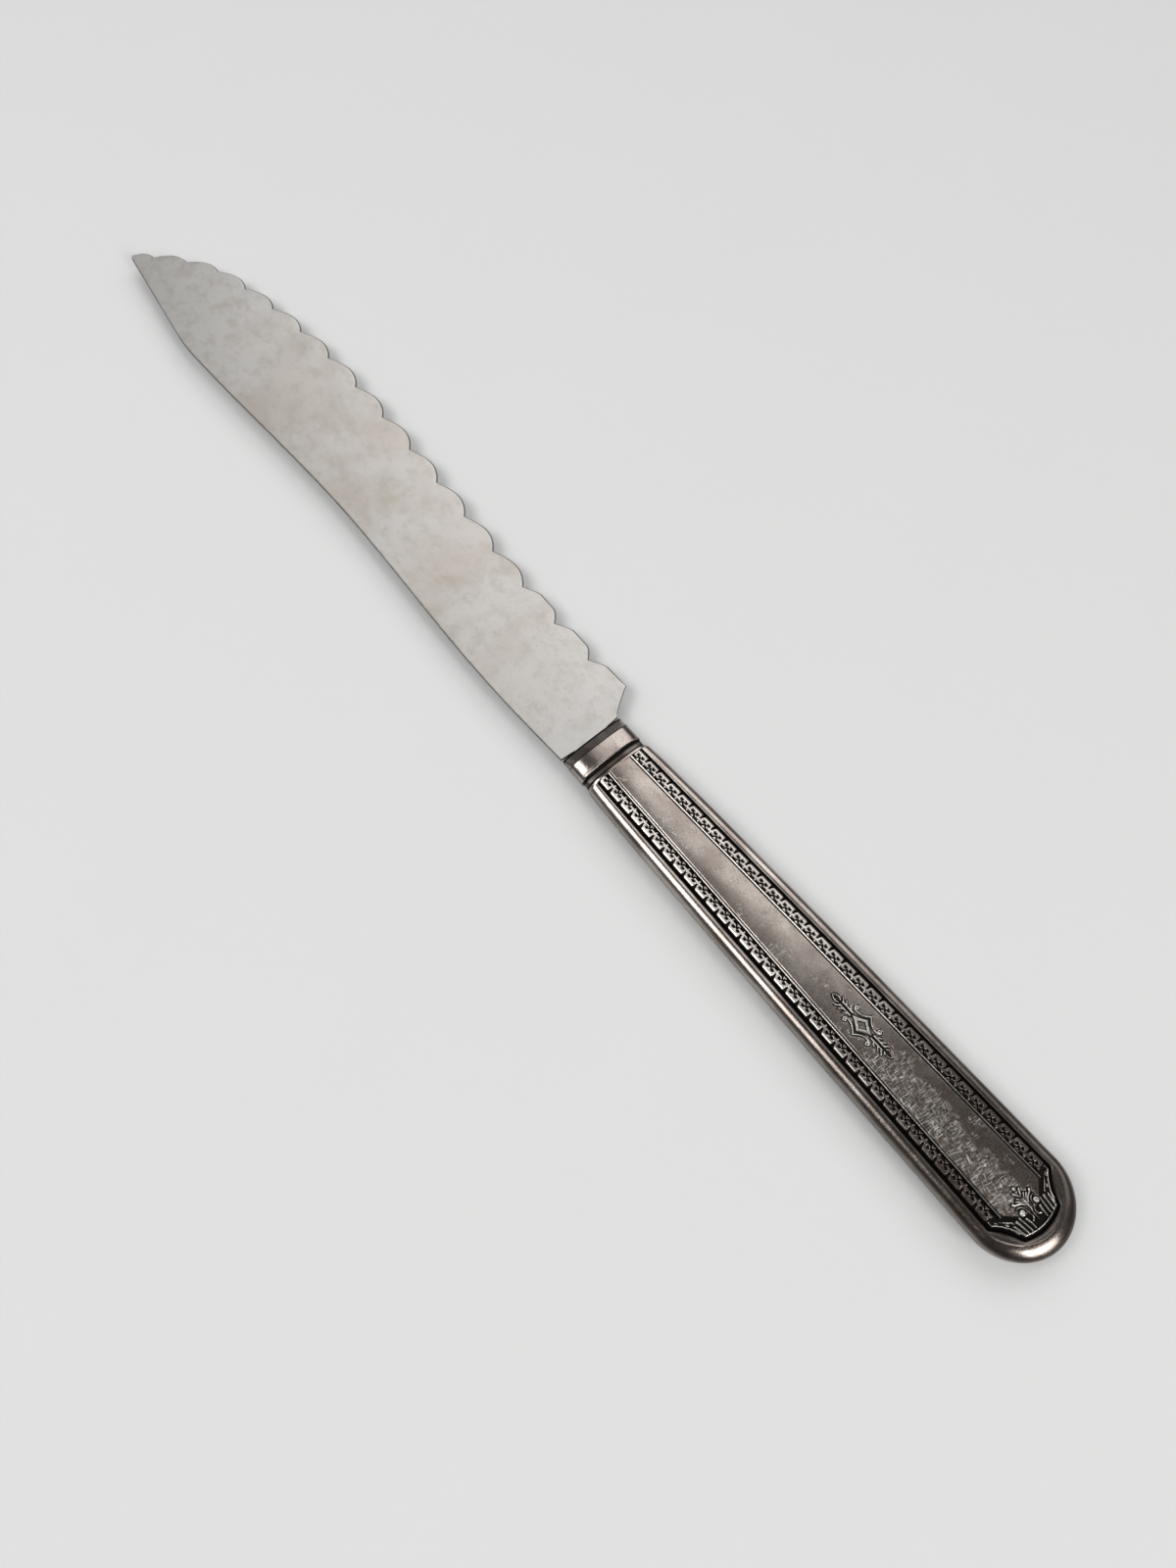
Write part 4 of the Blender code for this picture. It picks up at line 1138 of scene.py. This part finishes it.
# Soft boxes: place and aim in metres, width, height, and brightness where 1 is white
LAMPS = (
    ("sky_box", (-0.92, 0.80, 1.10), (-0.92, 0, 0), 1.8, 1.2, 1.5),
    ("window", (-0.24, -0.52, 0.85), (-0.08, 0, 0), 0.62, 0.46, 4.4),
    ("back_box", (0.28, 0.90, 0.70), (0.12, 0, 0), 1.3, 0.5, 0.64),
    ("butt_box", (0.86, 0.05, 0.60), (0, 0, 0), 0.45, 0.34, 10.0),
    ("top_box", (0.38, 0.16, 0.90), (0, 0, 0), 0.14, 0.14, 6.5),
    ("fill_box", (-0.75, -0.55, 0.85), (0, 0, 0), 1.0, 0.8, 0.9),
)
FLOOR_SIZE = 6.0
FLOOR_HEIGHT = -0.00022  # just under the raised ornament of the back
SENSOR_WIDTH = 36
NEAREST_SEEN = 0.005


class KNIFE_OT_stage(bpy.types.Operator):
    """Set up the floor, the lamps, the world and the camera"""

    bl_idname = "knife.stage"
    bl_label = "Stage"

    def execute(self, context):
        scene = context.scene
        settings = scene.cake_knife.stage
        scene.view_settings.view_transform = "Standard"
        half = FLOOR_SIZE / 2
        ground = bpy.data.meshes.new("floor")
        corners = [(-half, -half), (half, -half), (half, half), (-half, half)]
        ground.from_pydata([(x, y, FLOOR_HEIGHT) for x, y in corners], [], [(0, 1, 2, 3)])
        ground.materials.append(pale_ground(settings))
        floor = bpy.data.objects.new("floor", ground)
        scene.collection.objects.link(floor)
        for name, place, aim, width, height, brightness in LAMPS:
            light = bpy.data.lights.new(name, "AREA")
            light.shape = "RECTANGLE"
            light.size = width
            light.size_y = height
            light.energy = brightness * math.pi * width * height
            lamp = bpy.data.objects.new(name, light)
            lamp.location = place
            lamp.rotation_euler = (Vector(aim) - Vector(place)).to_track_quat("-Z", "Y").to_euler()
            scene.collection.objects.link(lamp)
        world = bpy.data.worlds.new("studio")
        world.use_nodes = True
        level = settings.world_level
        world.node_tree.nodes["Background"].inputs["Color"].default_value = (level, level, level, 1)
        scene.world = world
        lens = bpy.data.cameras.new("camera")
        lens.lens = settings.lens
        lens.sensor_width = SENSOR_WIDTH
        lens.clip_start = NEAREST_SEEN
        camera = bpy.data.objects.new("camera", lens)
        back = -Vector(settings.camera_aim).normalized()
        right = Vector(settings.camera_up).cross(back).normalized()
        turn = Matrix((right, back.cross(right), back)).transposed().to_4x4()
        camera.matrix_world = Matrix.Translation(settings.camera_place) @ turn
        scene.collection.objects.link(camera)
        scene.camera = camera
        return {"FINISHED"}


class KNIFE_PT_panel(bpy.types.Panel):
    """Cake knife tools"""

    bl_label = "Cake knife"
    bl_idname = "KNIFE_PT_panel"
    bl_space_type = "VIEW_3D"
    bl_region_type = "UI"
    bl_category = "Cake knife"

    def draw(self, context):
        settings = context.scene.cake_knife
        for group, operators in (
            (settings.handle, ("knife.handle", "knife.joints")),
            (settings.blade, ("knife.blade",)),
            (settings.stage, ("knife.stage",)),
        ):
            column = self.layout.column()
            for name in group.__annotations__:
                column.prop(group, name)
            for operator in operators:
                column.operator(operator)


CLASSES = (
    HandleSettings,
    BladeSettings,
    StageSettings,
    KnifeSettings,
    KNIFE_OT_handle,
    KNIFE_OT_joints,
    KNIFE_OT_blade,
    KNIFE_OT_stage,
    KNIFE_PT_panel,
)


def register():
    for kind in CLASSES:
        bpy.utils.register_class(kind)
    bpy.types.Scene.cake_knife = PointerProperty(type=KnifeSettings)


def unregister():
    del bpy.types.Scene.cake_knife
    for kind in reversed(CLASSES):
        bpy.utils.unregister_class(kind)


def main():
    register()
    bpy.ops.knife.handle()
    bpy.ops.knife.joints()
    bpy.ops.knife.blade()
    bpy.ops.knife.stage()


if __name__ == "__main__":
    main()
